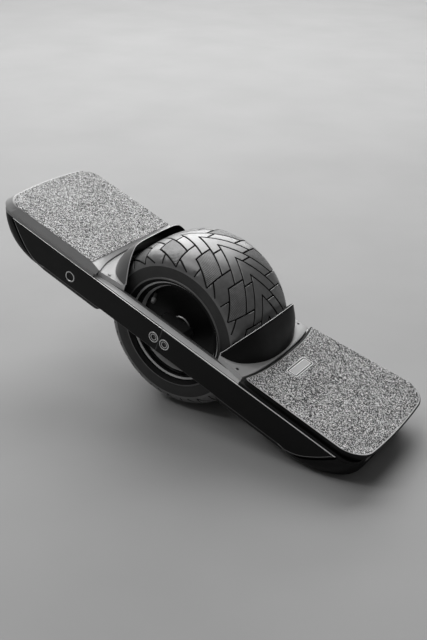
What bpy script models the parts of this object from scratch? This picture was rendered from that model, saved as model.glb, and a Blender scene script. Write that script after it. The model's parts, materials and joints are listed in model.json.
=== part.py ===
"""One-wheeled electric skateboard, resting on the skid under its rear end.

Everything is laid out in millimetres in the board's own frame: X along the rails towards
the rear, Y across (the left rail is at minus Y), Z up, with the axle at the origin. The
empty called board then leans that frame about the axle and sets it on the floor.
"""

import math

import bmesh
import bpy
import numpy as np
from mathutils import Matrix, Vector
from mathutils.geometry import delaunay_2d_cdt

MM = 0.001

# Fits
SEAT_GAP = 0.4
RUNNING_GAP = 0.6

# Tyre
TYRE_RADIUS = 146.0
TYRE_WIDTH = 164.0
SHOULDER_DROP = 31.3
SHOULDER_POWER = 0.75
TREAD_THICKNESS = 12.0
SIDEWALL_THICKNESS = 8.0
TREAD_PITCHES = 12
COLUMNS_PER_PITCH = 3
GROOVE_WIDTH = 3.4
GROOVE_DEPTH = 4.5
SHOULDER_GROOVE_DEPTH = 1.6

# Hub motor
RIM_RADIUS = 82.0
RIM_WIDTH = 154.0
RIM_WALL = 6.5
RIM_LIP_HEIGHT = 7.5
RIM_LIP_THICKNESS = 4.0
COVER_RECESS = 23.0
COVER_THICKNESS = 5.5
BOSS_HEIGHT = 4.0
BOSS_WALL = 8.5
SHAFT_RADIUS = 12.5
BEARING_WALL = 11.0
BEARING_WIDTH = 8.5
MAGNET_THICKNESS = 5.7
AIR_GAP = 1.4
STATOR_WIDTH = 40.0
STATOR_TEETH = 12

# Rails
RAIL_CLEARANCE = 10.0
RAIL_DEPTH = 22.0
RAIL_WALL = 4.0
RAIL_TOP = 26.5
RAIL_HEIGHT = 48.0
RAIL_END = 346.0
RAIL_SETBACK = 9.0

# Rail guards
GUARD_THICKNESS = 3.1
GUARD_BEVEL = 2.4
WIDEST_BEVEL = 3.4
GUARD_OVERLAP = 5.0
GUARD_STEP = 128.0

# Axle blocks and bolts
BLOCK_LENGTH = 64.0
BLOCK_CHAMFER = 8.0
BOLT_SPACING = 23.0
BOLT_HEAD_RADIUS = 10.0
BOLT_SHANK_RADIUS = 4.0

# Power button, on the left front guard
BUTTON_X = -201.2
BUTTON_Z = -4.0
BEZEL_RADIUS = 10.5
BEZEL_WALL = 2.8
BUTTON_TRAVEL = 1.2

# Boxes between the rails, under the foot pads
WELL_GAP = 12.5
BOX_END_SETBACK = 47.0
BOX_DROP = 11.5
BOX_WALL = 3.0
BOX_CORNER = 9.0
LID_THICKNESS = 3.2
FLANGE_THICKNESS = 7.0
FLANGE_SETBACK = 26.0

# Foot pads
BASE_THICKNESS = 5.8
FRONT_PAD_HEIGHT = 12.5
GRIP_THICKNESS = 0.9
FRONT_OVERHANG = 26.7
FRONT_BULGE = 8.8
FRONT_CORNER = 28.0
FRONT_BORDER = 10.3
BAND_SLOPE = 4.8
BAND_FLARE = 11.0
REAR_OVERHANG = 41.4
REAR_BULGE = 6.1
REAR_CORNER = 39.0
REAR_WHEEL_CORNER = 12.0
REAR_BORDER = 8.5
REAR_FLARE = 4.1
REAR_RISE_WHEEL = 5.7
REAR_RISE_END = 21.2
REAR_DISH = 6.7
PAD_GAP = 6.5

# Fenders
FENDER_REACH = 21.0
FENDER_THICKNESS = 9.0
LIP_HEIGHT = 57.0
LIP_THICKNESS = 2.4
LIP_FILLET = 2.8
SCREW_INSET = 8.0
SCREW_RADIUS = 2.6

# Bumpers
BUMPER_OVERHANG = 30.0
BUMPER_WALL = 16.0
BUMPER_CORNER = 20.0
SKID_CORNER = 95.0
SKID_DRAW = 10.0
SKID_HEEL = 26.0
SKID_DEPTH = 36.23
LAMP_WIDTH = 112.0
LAMP_HEIGHT = 10.0

# Places that follow from the sizes above
HALF_TYRE = TYRE_WIDTH / 2
EDGE_RADIUS = TYRE_RADIUS - SHOULDER_DROP
RIM_LIP_RADIUS = RIM_RADIUS + RIM_LIP_HEIGHT
RIM_FACE = RIM_WIDTH / 2
BARREL_BORE = RIM_RADIUS - RIM_WALL
COVER_FACE = RIM_FACE - COVER_RECESS
BOSS_FACE = COVER_FACE + BOSS_HEIGHT
BEARING_RADIUS = SHAFT_RADIUS + RUNNING_GAP + BEARING_WALL
MAGNET_OUTSIDE = BARREL_BORE - SEAT_GAP
STATOR_RADIUS = MAGNET_OUTSIDE - MAGNET_THICKNESS - AIR_GAP

RAIL_BOTTOM = RAIL_TOP - RAIL_HEIGHT
RAIL_INSIDE = HALF_TYRE + RAIL_CLEARANCE
RAIL_FACE = RAIL_INSIDE + RAIL_DEPTH
WEB_INSIDE = RAIL_FACE - RAIL_WALL
GUARD_INSIDE = RAIL_FACE + SEAT_GAP
GUARD_FACE = GUARD_INSIDE + GUARD_THICKNESS
GUARD_LOW = RAIL_BOTTOM - GUARD_OVERLAP
GUARD_MID = RAIL_BOTTOM + 0.1 * GUARD_OVERLAP
GUARD_ROOM = WIDEST_BEVEL + SEAT_GAP

WELL_RADIUS = TYRE_RADIUS + WELL_GAP / 2
BOX_WHEEL_X = TYRE_RADIUS + WELL_GAP
BOX_END_X = RAIL_END - BOX_END_SETBACK
BOX_HALF_WIDTH = RAIL_INSIDE - RUNNING_GAP
BOX_BOTTOM = RAIL_BOTTOM - BOX_DROP
LID_TOP = RAIL_TOP - 3 * SEAT_GAP
BOX_TOP = LID_TOP - LID_THICKNESS - SEAT_GAP

BASE_BOTTOM = RAIL_TOP + SEAT_GAP
BASE_TOP = BASE_BOTTOM + BASE_THICKNESS
PAD_BOTTOM = BASE_TOP + SEAT_GAP
FENDER_BOTTOM = RAIL_TOP + SEAT_GAP
FENDER_TOP = FENDER_BOTTOM + FENDER_THICKNESS
FENDER_EDGE = TYRE_RADIUS + FENDER_REACH
FENDER_HALF = RAIL_FACE - SCREW_INSET
FRONT_GRIP_TOP = PAD_BOTTOM + FRONT_PAD_HEIGHT
FRONT_END = RAIL_END + FRONT_OVERHANG
REAR_END = RAIL_END + REAR_OVERHANG
BUMPER_TOP = RAIL_TOP
BUMPER_END = RAIL_END + BUMPER_OVERHANG

# The board leans until the heel of the rear skid meets the floor that the tyre stands on
HEEL_X = RAIL_END - SKID_HEEL
LEAN = (math.asin(TYRE_RADIUS / math.hypot(HEEL_X, SKID_DEPTH))
        - math.atan2(SKID_DEPTH, HEEL_X))

# The phase that puts a column of the tyre's points on the floor
TOP_DEG = 90 + math.degrees(LEAN)
WHEEL_SIDES = TREAD_PITCHES * COLUMNS_PER_PITCH
HUB_SIDES = 2 * TREAD_PITCHES

# How far the sloping ends of the rails draw back, at depths below the rail's top
END_SLOPE = [(0.0, 0.0), (6.5, 6.0), (18.5, 18.0), (30.5, 32.0), (40.8, 46.0), (47.5, 60.0),
             (51.3, 74.0), (53.0, 84.0)]
BUMPER_INSIDE = RAIL_END - END_SLOPE[-1][1]

# Finishes: colour, roughness, metallic
FINISHES = {
    "grip": ((0.22, 0.22, 0.23), 0.95, 0.0),
    "black plastic": ((0.02, 0.02, 0.022), 0.45, 0.0),
    "grey plastic": ((0.42, 0.42, 0.44), 0.4, 0.0),
    "rubber": ((0.045, 0.045, 0.048), 0.8, 0.0),
    "anodised rail": ((0.5, 0.5, 0.52), 0.35, 0.9),
    "dark metal": ((0.08, 0.08, 0.085), 0.4, 0.8),
    "steel": ((0.6, 0.6, 0.62), 0.25, 1.0),
    "lens": ((0.75, 0.75, 0.78), 0.1, 0.0),
    "circuit": ((0.03, 0.12, 0.06), 0.5, 0.0),
}
FINISH_OF = {
    "tyre": "rubber", "cable": "rubber", "cap": "rubber", "grip_tape": "grip",
    "sensor": "lens", "lamp": "lens", "fender": "grey plastic", "front_footpad": "grey plastic",
    "rail": "anodised rail", "rim": "dark metal", "hub_cover": "dark metal",
    "axle_block": "steel", "bolt": "steel", "screw": "steel", "shaft": "steel",
    "bearing": "steel", "bezel": "steel", "stem": "steel", "magnet": "steel",
    "stator": "dark metal", "badge": "grey plastic", "_board": "circuit",
    "guard": "black plastic",
}

board = None


def interpolate(table, value):
    """Reads a table of (input, output) pairs, joined by straight lines."""
    inputs, outputs = zip(*table)
    return float(np.interp(value, inputs, outputs))


def circle(radius, sides, centre=(0, 0), start_deg=TOP_DEG):
    """Points round a circle, as (x, z) pairs; it starts at the tyre's top by default."""
    angles = [math.radians(start_deg - 360 * k / sides) for k in range(sides)]
    return [(centre[0] + radius * math.cos(a), centre[1] + radius * math.sin(a))
            for a in angles]


# Modelling helpers: each takes millimetres in the board's frame

def add_mesh(name, points, faces, origin=(0, 0, 0)):
    """Adds one closed mesh, with its origin where its joint or its axis is."""
    shift = Vector(origin)
    mesh = bpy.data.meshes.new(name)
    mesh.from_pydata([(Vector(point) - shift) * MM for point in points], [], faces)
    work = bmesh.new()
    work.from_mesh(mesh)
    bmesh.ops.remove_doubles(work, verts=work.verts, dist=1e-7)
    bmesh.ops.recalc_face_normals(work, faces=work.faces)
    work.to_mesh(mesh)
    work.free()
    item = bpy.data.objects.new(name, mesh)
    item.location = shift * MM
    item.parent = board
    bpy.context.scene.collection.objects.link(item)
    return item


def loft(name, loops, ring=False, origin=(0, 0, 0)):
    """Skins loops of equal length, capping both ends, or joins the last to the first."""
    count = len(loops[0])
    points = [point for loop in loops for point in loop]
    faces = []
    spans = len(loops) if ring else len(loops) - 1
    for i in range(spans):
        a, b = i * count, (i + 1) % len(loops) * count
        for j in range(count):
            k = (j + 1) % count
            faces.append((a + j, a + k, b + k, b + j))
    if not ring:
        faces.append(tuple(range(count)))
        faces.append(tuple(len(points) - count + j for j in range(count)))
    return add_mesh(name, points, faces, origin)


def prism(name, outline, axis, low, high):
    """Extrudes an outline along X, Y or Z; the outline gives the other two in order."""
    order = {"X": (2, 0, 1), "Y": (0, 2, 1), "Z": (0, 1, 2)}[axis]
    loops = []
    for level in (low, high):
        loops.append([tuple((u, v, level)[k] for k in order) for u, v in outline])
    return loft(name, loops)


def block(name, x, y, z):
    return prism(name, [(x[0], y[0]), (x[1], y[0]), (x[1], y[1]), (x[0], y[1])], "Z", *z)


def lathe(name, profile, sides, centre=(0, 0)):
    """Revolves a closed (radius, y) profile that stays off the axis, about a line along Y."""
    rings = [circle(r, sides, centre) for r, y in profile]
    loops = []
    for k in range(sides):
        loops.append([(ring[k][0], y, ring[k][1]) for ring, (r, y) in zip(rings, profile)])
    return loft(name, loops, True, (centre[0], 0, centre[1]))


def turned(name, stations, sides, centre=(0, 0)):
    """A solid turned about a line along Y, from (radius, y) stations in order of y."""
    loops = [[(x, y, z) for x, z in circle(r, sides, centre)] for r, y in stations]
    return loft(name, loops, False, (centre[0], 0, centre[1]))


def turned_up(name, stations, sides, centre):
    """A solid turned about an upright line, from (radius, z) stations."""
    loops = [[(x, y, z) for x, y in circle(r, sides, centre)] for r, z in stations]
    return loft(name, loops, False, (centre[0], centre[1], 0))


def rod(name, path, radius, sides=8):
    """A round rod through the given points."""
    loops = []
    for i, point in enumerate(path):
        ahead = Vector(path[min(i + 1, len(path) - 1)]) - Vector(path[max(i - 1, 0)])
        across = ahead.cross(Vector((0.31, 0.17, 0.93))).normalized()
        other = ahead.normalized().cross(across)
        loop = []
        for u, v in circle(radius, sides):
            loop.append(tuple(Vector(point) + across * u + other * v))
        loops.append(loop)
    return loft(name, loops)


def combine(target, other, operation):
    """Adds a live Boolean and hides the helper that it uses."""
    other.hide_render = True
    other.display_type = "WIRE"
    modifier = target.modifiers.new(other.name, "BOOLEAN")
    modifier.operation = operation
    modifier.object = other
    return target


def drill(target, label, radius, span, centre, sides=12):
    """Cuts a round hole along Y, between two distances from the middle."""
    low, high = sorted(span)
    hole = turned(f"{target.name}_{label}", [(radius, low), (radius, high)], sides, centre)
    return combine(target, hole, "DIFFERENCE")


def soften(item, width):
    """Bevels every sharp edge of a plain block."""
    modifier = item.modifiers.new("edges", "BEVEL")
    modifier.width = width * MM
    modifier.segments = 1
    modifier.limit_method = "ANGLE"
    return item


def sides_of_board():
    return (("left", -1), ("right", 1))


def ends_of_board():
    return (("front", -1), ("rear", 1))


# The tyre

def crown_table():
    """Arc length from the centre line, y and radius, for the outside of the tyre."""
    turns = np.linspace(0, math.pi / 2, 601)
    y = HALF_TYRE * np.sin(turns) ** SHOULDER_POWER
    fall = 1 - np.abs(np.cos(turns)) ** SHOULDER_POWER
    radius = TYRE_RADIUS - SHOULDER_DROP * fall
    arc = np.concatenate([[0], np.cumsum(np.hypot(np.diff(y), np.diff(radius)))])
    return arc, y, radius


CROWN_ARC, CROWN_Y, CROWN_RADIUS = crown_table()
TREAD_EDGE = 0.958 * CROWN_ARC[-1]
SHOULDER_LINE = 0.906 * CROWN_ARC[-1]
PITCH = 2 * math.pi * TYRE_RADIUS / TREAD_PITCHES

# Centre lines of one side's grooves: shares of a pitch along, shares of the way out
TREAD_LINES = [
    [(-0.02, -0.007), (1.17, 0.598)],
    [(0.48, -0.007), (1.49, 0.507)],
    [(0.49, 0.25), (0.49, 0.693)],
    [(0.49, 0.682), (1.17, 1.0)],
    [(1.17, 0.347), (1.17, 1.0)],
    [(0.64, 0.073), (0.64, 0.324)],
    [(1.17, 0.835), (1.5, 1.0)],
    [(0.74, 0.8), (0.74, 1.0)],
]


def tread_point(along, across, depth):
    """A point of the tread: along and across in millimetres on the unrolled crown."""
    angle = math.radians(TOP_DEG) - along / TYRE_RADIUS
    side = math.copysign(1, across)
    y = side * float(np.interp(abs(across), CROWN_ARC, CROWN_Y))
    radius = float(np.interp(abs(across), CROWN_ARC, CROWN_RADIUS)) - depth
    return radius * math.cos(angle), y, radius * math.sin(angle)


def groove_depth(across):
    """Grooves run out towards the shoulder."""
    share = abs(across) / SHOULDER_LINE
    return interpolate([(0.65, GROOVE_DEPTH), (0.95, SHOULDER_GROOVE_DEPTH)], share)


def strip(start, end, width, pieces):
    """Outline of a straight groove, with its long sides in equal pieces."""
    start, end = Vector(start), Vector(end)
    side = (end - start).normalized().orthogonal() * width / 2
    stops = [start.lerp(end, k / pieces) for k in range(pieces + 1)]
    return [stop - side for stop in stops] + [stop + side for stop in reversed(stops)]


def tread_outlines():
    """Groove outlines that touch one pitch, both sides; one side is half a pitch on."""
    outlines = []
    for sign, shift in ((-1, 0.0), (1, 0.5)):
        for line in TREAD_LINES:
            ends = [((u + shift) * PITCH, sign * v * SHOULDER_LINE) for u, v in line]
            pieces = max(1, round(math.dist(*ends) / (0.9 * PITCH)))
            for copy in range(-2, 2):
                moved = [(x + copy * PITCH, y) for x, y in ends]
                outlines.append(strip(*moved, GROOVE_WIDTH, pieces))
    return outlines


def tread_cells():
    """Triangles of one pitch as (three flat points, whether they lie in a groove)."""
    column = PITCH / COLUMNS_PER_PITCH
    points = [Vector((k * column, -TREAD_EDGE)) for k in range(COLUMNS_PER_PITCH + 1)]
    points += [Vector((k * column, TREAD_EDGE)) for k in range(COLUMNS_PER_PITCH, -1, -1)]
    faces = [list(range(len(points)))]
    for outline in tread_outlines():
        faces.append(list(range(len(points), len(points) + len(outline))))
        points.extend(outline)
    for share in (-0.78, -0.44, 0.44, 0.78):
        for u in (0.25, 0.75):
            points.append(Vector((u * PITCH, share * TREAD_EDGE)))
    for share in (-0.65, 0, 0.65):
        for end in (0, PITCH):
            points.append(Vector((end, share * TREAD_EDGE)))
    found = delaunay_2d_cdt(points, [], faces, 0, 1e-4, True)
    sheet = bmesh.new()
    corners = [sheet.verts.new((*spot, 0)) for spot in found[0]]
    spot_of = dict(zip(corners, found[0]))
    for triangle, owner in zip(found[2], found[5]):
        if 0 in owner:
            face = sheet.faces.new([corners[k] for k in triangle])
            face.material_index = int(len(owner) > 1)
    crossings = [edge for edge in sheet.edges if len(edge.link_faces) == 2
                 and all(face.material_index for face in edge.link_faces)]
    bmesh.ops.dissolve_edges(sheet, edges=crossings)
    idle = [vert for vert in sheet.verts if len(vert.link_edges) == 2 and not vert.is_boundary]
    bmesh.ops.dissolve_verts(sheet, verts=idle)
    bmesh.ops.triangulate(sheet, faces=sheet.faces)
    cells = []
    for face in sheet.faces:
        spots = [tuple(spot_of[vert]) for vert in face.verts]
        cells.append((spots, bool(face.material_index)))
    sheet.free()
    return cells


def carcass_rows():
    """(y, radius) from the tread's edge, round the bead and inside to the other edge."""
    bead_radius = RIM_LIP_RADIUS + RUNNING_GAP
    seat_radius = RIM_RADIUS + RUNNING_GAP
    bead_inside = RIM_FACE - RIM_LIP_THICKNESS - RUNNING_GAP
    bead_toe = bead_inside - 1.5 * SIDEWALL_THICKNESS
    middle = (EDGE_RADIUS + bead_radius) / 2
    half = [
        (HALF_TYRE, EDGE_RADIUS),
        (HALF_TYRE - 0.6, middle),
        (RIM_FACE + 1.0, bead_radius),
        (bead_inside, bead_radius),
        (bead_inside, seat_radius),
        (bead_toe, seat_radius),
        (HALF_TYRE - SIDEWALL_THICKNESS, EDGE_RADIUS),
        (0.73 * HALF_TYRE, TYRE_RADIUS - 1.3 * TREAD_THICKNESS),
    ]
    crown = (0.0, TYRE_RADIUS - TREAD_THICKNESS)
    return half + [crown] + [(-y, r) for y, r in reversed(half)]


def make_tyre():
    """Cuts the grooves into one pitch of the unrolled crown, then rolls all pitches up."""
    around = PITCH * TREAD_PITCHES
    points, index, faces, edges = [], {}, [], {}

    def corner(spot, low):
        key = (round(spot[0] % around, 2) % round(around, 2), round(spot[1], 2), low)
        if key not in index:
            index[key] = len(points)
            points.append(tread_point(*spot, groove_depth(spot[1]) if low else 0))
        return index[key]

    cells = tread_cells()
    for pitch in range(TREAD_PITCHES):
        for triangle, groove in cells:
            spots = [(x + pitch * PITCH, y) for x, y in triangle]
            faces.append([corner(spot, groove) for spot in spots])
            for a, b in zip(spots, spots[1:] + spots[:1]):
                high = {corner(a, False): a, corner(b, False): b}
                edges.setdefault(tuple(sorted(high)), []).append((groove, high))
    for pair, users in edges.items():
        if len(users) == 2 and users[0][0] != users[1][0]:
            spots = users[0][1]
            low = [corner(spots[k], True) for k in pair]
            faces.append([pair[0], pair[1], low[1], low[0]])

    column = PITCH / COLUMNS_PER_PITCH
    loops = [[corner((k * column, TREAD_EDGE), False) for k in range(WHEEL_SIDES)]]
    for y, radius in carcass_rows():
        loops.append(range(len(points), len(points) + WHEEL_SIDES))
        points.extend((x, y, z) for x, z in circle(radius, WHEEL_SIDES))
    loops.append([corner((k * column, -TREAD_EDGE), False) for k in range(WHEEL_SIDES)])
    for low, high in zip(loops, loops[1:]):
        for k in range(WHEEL_SIDES):
            j = (k + 1) % WHEEL_SIDES
            faces.append([low[k], low[j], high[j], high[k]])
    used = sorted({k for face in faces for k in face})
    renumber = {old: new for new, old in enumerate(used)}
    faces = [[renumber[k] for k in face] for face in faces]
    return add_mesh("tyre", [points[k] for k in used], faces)


# The hub motor and axle

def make_rim():
    groove = RIM_FACE - RIM_LIP_THICKNESS
    half = [
        (RIM_LIP_RADIUS - 1.0, RIM_FACE),
        (RIM_LIP_RADIUS, RIM_FACE - 1.0),
        (RIM_LIP_RADIUS, groove),
        (RIM_RADIUS, groove),
        (RIM_RADIUS, COVER_FACE + BOSS_HEIGHT),
        (RIM_RADIUS - 0.5 * RIM_WALL, COVER_FACE - BOSS_HEIGHT),
    ]
    dish = [
        (BARREL_BORE, COVER_FACE + 0.5 * BOSS_HEIGHT),
        (BARREL_BORE + 0.4 * RIM_WALL, COVER_FACE + 0.5 * COVER_RECESS),
        (RIM_LIP_RADIUS - 3.0, RIM_FACE),
    ]
    outside = half + [(r, -y) for r, y in reversed(half)]
    inside = [(r, -y) for r, y in reversed(dish)] + dish
    lathe("hub_rim", outside + inside, WHEEL_SIDES)


def make_hub_covers():
    seat = BEARING_RADIUS + SEAT_GAP
    back = COVER_FACE - COVER_THICKNESS
    ledge = COVER_FACE - 1.5
    eye = SHAFT_RADIUS + 5 * RUNNING_GAP
    boss = eye + 0.7 * BOSS_WALL
    bearing_back = ledge - SEAT_GAP - BEARING_WIDTH
    outside = BARREL_BORE - SEAT_GAP
    for side, sign in sides_of_board():
        profile = [
            (seat, bearing_back), (seat, ledge), (eye, ledge), (eye, BOSS_FACE),
            (boss, BOSS_FACE), (boss + 1.0, COVER_FACE), (outside, COVER_FACE),
            (outside, back), (seat + BOSS_WALL, back), (seat + BOSS_WALL, bearing_back),
        ]
        lathe(f"{side}_hub_cover", [(r, sign * y) for r, y in profile], HUB_SIDES)
        bore = SHAFT_RADIUS + RUNNING_GAP
        ring = [
            (bore, bearing_back), (BEARING_RADIUS, bearing_back),
            (BEARING_RADIUS, ledge - SEAT_GAP), (bore, ledge - SEAT_GAP),
        ]
        lathe(f"{side}_bearing", [(r, sign * y) for r, y in ring], 18)


def make_motor():
    half = STATOR_WIDTH / 2
    inside = MAGNET_OUTSIDE - MAGNET_THICKNESS
    magnets = [(inside, -half - 2), (MAGNET_OUTSIDE, -half - 2),
               (MAGNET_OUTSIDE, half + 2), (inside, half + 2)]
    lathe("magnet_ring", magnets, HUB_SIDES)
    root = 0.68 * STATOR_RADIUS
    step = 2 * math.pi / STATOR_TEETH
    outline = []
    for k in range(STATOR_TEETH):
        for turn, radius in ((-0.17, root), (-0.36, STATOR_RADIUS), (0.36, STATOR_RADIUS),
                             (0.17, root)):
            angle = (k + turn) * step
            outline.append((radius * math.cos(angle), radius * math.sin(angle)))
    stator = prism("motor_stator", outline, "Y", -half, half)
    drill(stator, "bore", SHAFT_RADIUS + SEAT_GAP, (-half - 5, half + 5), (0, 0), 24)
    end = RAIL_INSIDE + RAIL_WALL
    ends = [(SHAFT_RADIUS - 1, -end), (SHAFT_RADIUS, 1 - end), (SHAFT_RADIUS, end - 1),
            (SHAFT_RADIUS - 1, end)]
    turned("axle_shaft", ends, 18)


def make_valve():
    """The tyre valve: it stands on the left hub cover and leans in towards the axle."""
    angle = math.radians(157)
    outward = Vector((math.cos(angle), 0, math.sin(angle)))
    lean = (outward * -0.5 + Vector((0, -0.87, 0))).normalized()
    foot = outward * (BARREL_BORE - 4.5) + Vector((0, -COVER_FACE - SEAT_GAP - 1.5, 0))
    stem_length = 12.0
    cap_length = 9.0
    cap_start = stem_length + SEAT_GAP
    stops = [0, stem_length]
    rod("valve_stem", [tuple(foot + lean * d) for d in stops], 3.0)
    stops = [cap_start, cap_start + cap_length]
    rod("valve_cap", [tuple(foot + lean * d) for d in stops], 4.2)


def make_axle_blocks():
    """Blocks that clamp the shaft's ends, bolted to the rails through their webs."""
    half = BLOCK_LENGTH / 2
    top = RAIL_TOP - RAIL_WALL - RUNNING_GAP
    bottom = RAIL_BOTTOM + RAIL_WALL + RUNNING_GAP
    slope = BLOCK_CHAMFER
    outline = [(-half, bottom), (half, bottom), (half, top - slope), (half - slope, top),
               (slope - half, top), (-half, top - slope)]
    inside = BOSS_FACE + 2 * BOSS_HEIGHT
    for side, sign in sides_of_board():
        low, high = sorted((sign * inside, sign * (WEB_INSIDE - SEAT_GAP)))
        body = prism(f"{side}_axle_block", outline, "Y", low, high)
        drill(body, "bore", SHAFT_RADIUS + SEAT_GAP,
              (sign * (inside - 5), sign * (RAIL_INSIDE + RAIL_WALL + 1)), (0, 0), 18)
        for end, x_sign in ends_of_board():
            drill(body, f"{end}_hole", BOLT_SHANK_RADIUS + SEAT_GAP,
                  (sign * (RAIL_INSIDE + RAIL_WALL + 1.5), sign * (WEB_INSIDE + 2)),
                  (x_sign * BOLT_SPACING / 2, 0), 12)


def make_bolts():
    """Axle bolts: each has a raised rim, a sunk face and a hex socket."""
    face = GUARD_FACE - SEAT_GAP
    head = BOLT_HEAD_RADIUS
    tip = WEB_INSIDE - 3 * BOLT_SHANK_RADIUS
    for side, sign in sides_of_board():
        for end, x_sign in ends_of_board():
            centre = (x_sign * BOLT_SPACING / 2, 0)
            stations = [(BOLT_SHANK_RADIUS, tip), (BOLT_SHANK_RADIUS, GUARD_INSIDE),
                        (head, GUARD_INSIDE), (head, face), (0.78 * head, face),
                        (0.66 * head, face - 1.2)]
            stations = [(r, sign * y) for r, y in stations]
            bolt = turned(f"{side}_{end}_axle_bolt", stations, 12, centre)
            drill(bolt, "socket", 0.42 * head, (sign * (face - 2.4), sign * (face + 2)),
                  centre, 6)


# Rails, guards and the button

def end_x(z, setback=0.0):
    """How far the sloping end of a rail guard reaches, at a height."""
    return RAIL_END - interpolate(END_SLOPE, RAIL_TOP - z) - setback


def make_rails():
    """C-channels, open towards the wheel, with their ends cut to the guards' slope."""
    round_off = 1.5
    section = [
        (RAIL_INSIDE, RAIL_TOP - round_off), (RAIL_INSIDE + 2.5, RAIL_TOP),
        (RAIL_FACE - round_off, RAIL_TOP), (RAIL_FACE, RAIL_TOP - round_off),
        (RAIL_FACE, RAIL_BOTTOM), (RAIL_INSIDE, RAIL_BOTTOM),
        (RAIL_INSIDE, RAIL_BOTTOM + RAIL_WALL), (WEB_INSIDE, RAIL_BOTTOM + RAIL_WALL),
        (WEB_INSIDE, RAIL_TOP - RAIL_WALL), (RAIL_INSIDE, RAIL_TOP - RAIL_WALL),
    ]
    for side, sign in sides_of_board():
        loops = []
        for end in (-1, 1):
            loops.append([(end * end_x(z, RAIL_SETBACK), sign * y, z) for y, z in section])
        rail = loft(f"{side}_rail", loops)
        span = (sign * (WEB_INSIDE - 2), sign * (RAIL_FACE + 2))
        for end, x_sign in ends_of_board():
            drill(rail, f"{end}_hole", BOLT_SHANK_RADIUS + SEAT_GAP, span,
                  (x_sign * BOLT_SPACING / 2, 0), 12)
        if side == "left":
            drill(rail, "button_hole", BEZEL_RADIUS - BEZEL_WALL + SEAT_GAP, span,
                  (BUTTON_X, BUTTON_Z), 20)


def guard_outline(spread):
    """Outline of a rear guard, grown at its lower and end edges by spread."""
    seam = 0.3
    top = RAIL_TOP + 0.25 * (spread - WIDEST_BEVEL)
    outline = [(seam, top), (end_x(RAIL_TOP) + 0.9 * spread, top)]
    for depth, setback in END_SLOPE[1:-1]:
        steep = depth < 45
        reach = spread * (0.9 if steep else 0.5)
        drop = spread * (0.45 if steep else 0.9)
        outline.append((RAIL_END - setback + reach, RAIL_TOP - depth - drop))
    low = GUARD_LOW - spread
    middle = GUARD_MID - 0.6 * spread
    outline.append((RAIL_END - END_SLOPE[-1][1] - 4.0, low))
    outline.append((GUARD_STEP + 8.0, low))
    outline.append((GUARD_STEP + 3.0, low + 0.25 * (middle - low)))
    outline.append((GUARD_STEP, middle))
    outline.append((seam, middle))
    return outline


def make_guards():
    """Bevelled plastic covers over the rails, two to a side."""
    for side, y_sign in sides_of_board():
        for end, x_sign in ends_of_board():
            loops = []
            for y, spread in ((GUARD_INSIDE, WIDEST_BEVEL),
                              (GUARD_FACE - GUARD_BEVEL, WIDEST_BEVEL),
                              (GUARD_FACE, 0.0)):
                outline = guard_outline(spread)
                loops.append([(x_sign * x, y_sign * y, z) for x, z in outline])
            guard = loft(f"{side}_{end}_rail_guard", loops)
            span = (y_sign * (GUARD_INSIDE - 2), y_sign * (GUARD_FACE + 2))
            drill(guard, "bolt_hole", BOLT_HEAD_RADIUS + RUNNING_GAP, span,
                  (x_sign * BOLT_SPACING / 2, 0))
            if (side, end) == ("left", "front"):
                drill(guard, "button_hole", BEZEL_RADIUS + SEAT_GAP, span,
                      (BUTTON_X, BUTTON_Z), 20)


def make_button():
    """A push button: its bezel sits through the left rail, with a switch behind it."""
    centre = (BUTTON_X, BUTTON_Z)
    bore = BEZEL_RADIUS - BEZEL_WALL
    neck = bore + 0.1
    cap = bore - 0.5
    back = GUARD_INSIDE - 0.1
    inner_end = WEB_INSIDE - 2.0
    bezel = [(bore, inner_end), (bore, GUARD_FACE - SEAT_GAP),
             (BEZEL_RADIUS - 0.8, GUARD_FACE - SEAT_GAP), (BEZEL_RADIUS, GUARD_FACE - 1.2),
             (BEZEL_RADIUS, back), (neck + 0.1, back), (neck + 0.1, inner_end)]
    lathe("button_bezel", [(r, -y) for r, y in bezel], 20, centre)
    stem = inner_end - 2.5
    shape = [(cap - 1.0, GUARD_FACE - 0.9), (cap, GUARD_FACE - 1.6), (cap, inner_end + 1.0),
             (0.4 * cap, inner_end + 1.0), (0.4 * cap, stem)]
    turned("power_button", [(r, -y) for r, y in shape], 20, centre)
    reach = stem - BUTTON_TRAVEL - SEAT_GAP
    half = 1.2 * cap
    switch = block("button_switch", (BUTTON_X - half, BUTTON_X + half),
                   (-reach, -BOX_HALF_WIDTH - SEAT_GAP), (BUTTON_Z - half, BUTTON_Z + half))
    soften(switch, 0.8)


# Boxes, batteries and boards inside

def rounded_box(x, half_width, corner, steps=3):
    """Plan outline of a box with round corners, as (x, y) pairs."""
    outline = []
    centres = [(x[1] - corner, corner - half_width), (x[1] - corner, half_width - corner),
               (x[0] + corner, half_width - corner), (x[0] + corner, corner - half_width)]
    for quarter, (cx, cy) in enumerate(centres):
        for k in range(steps + 1):
            angle = math.radians(90 * quarter - 90 + 90 * k / steps)
            outline.append((cx + corner * math.cos(angle), cy + corner * math.sin(angle)))
    return outline


def tray(name, x, half_width, corner, chamfer, z):
    """A tray's outside: round corners, and a chamfer round its bottom edge."""
    inset = (x[0] + chamfer, x[1] - chamfer)
    levels = [(inset, half_width - chamfer, z[0]), (x, half_width, z[0] + chamfer),
              (x, half_width, z[1])]
    loops = []
    for span, half, level in levels:
        outline = rounded_box(span, half, corner)
        loops.append([(u, v, level) for u, v in outline])
    return loft(name, loops)


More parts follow.
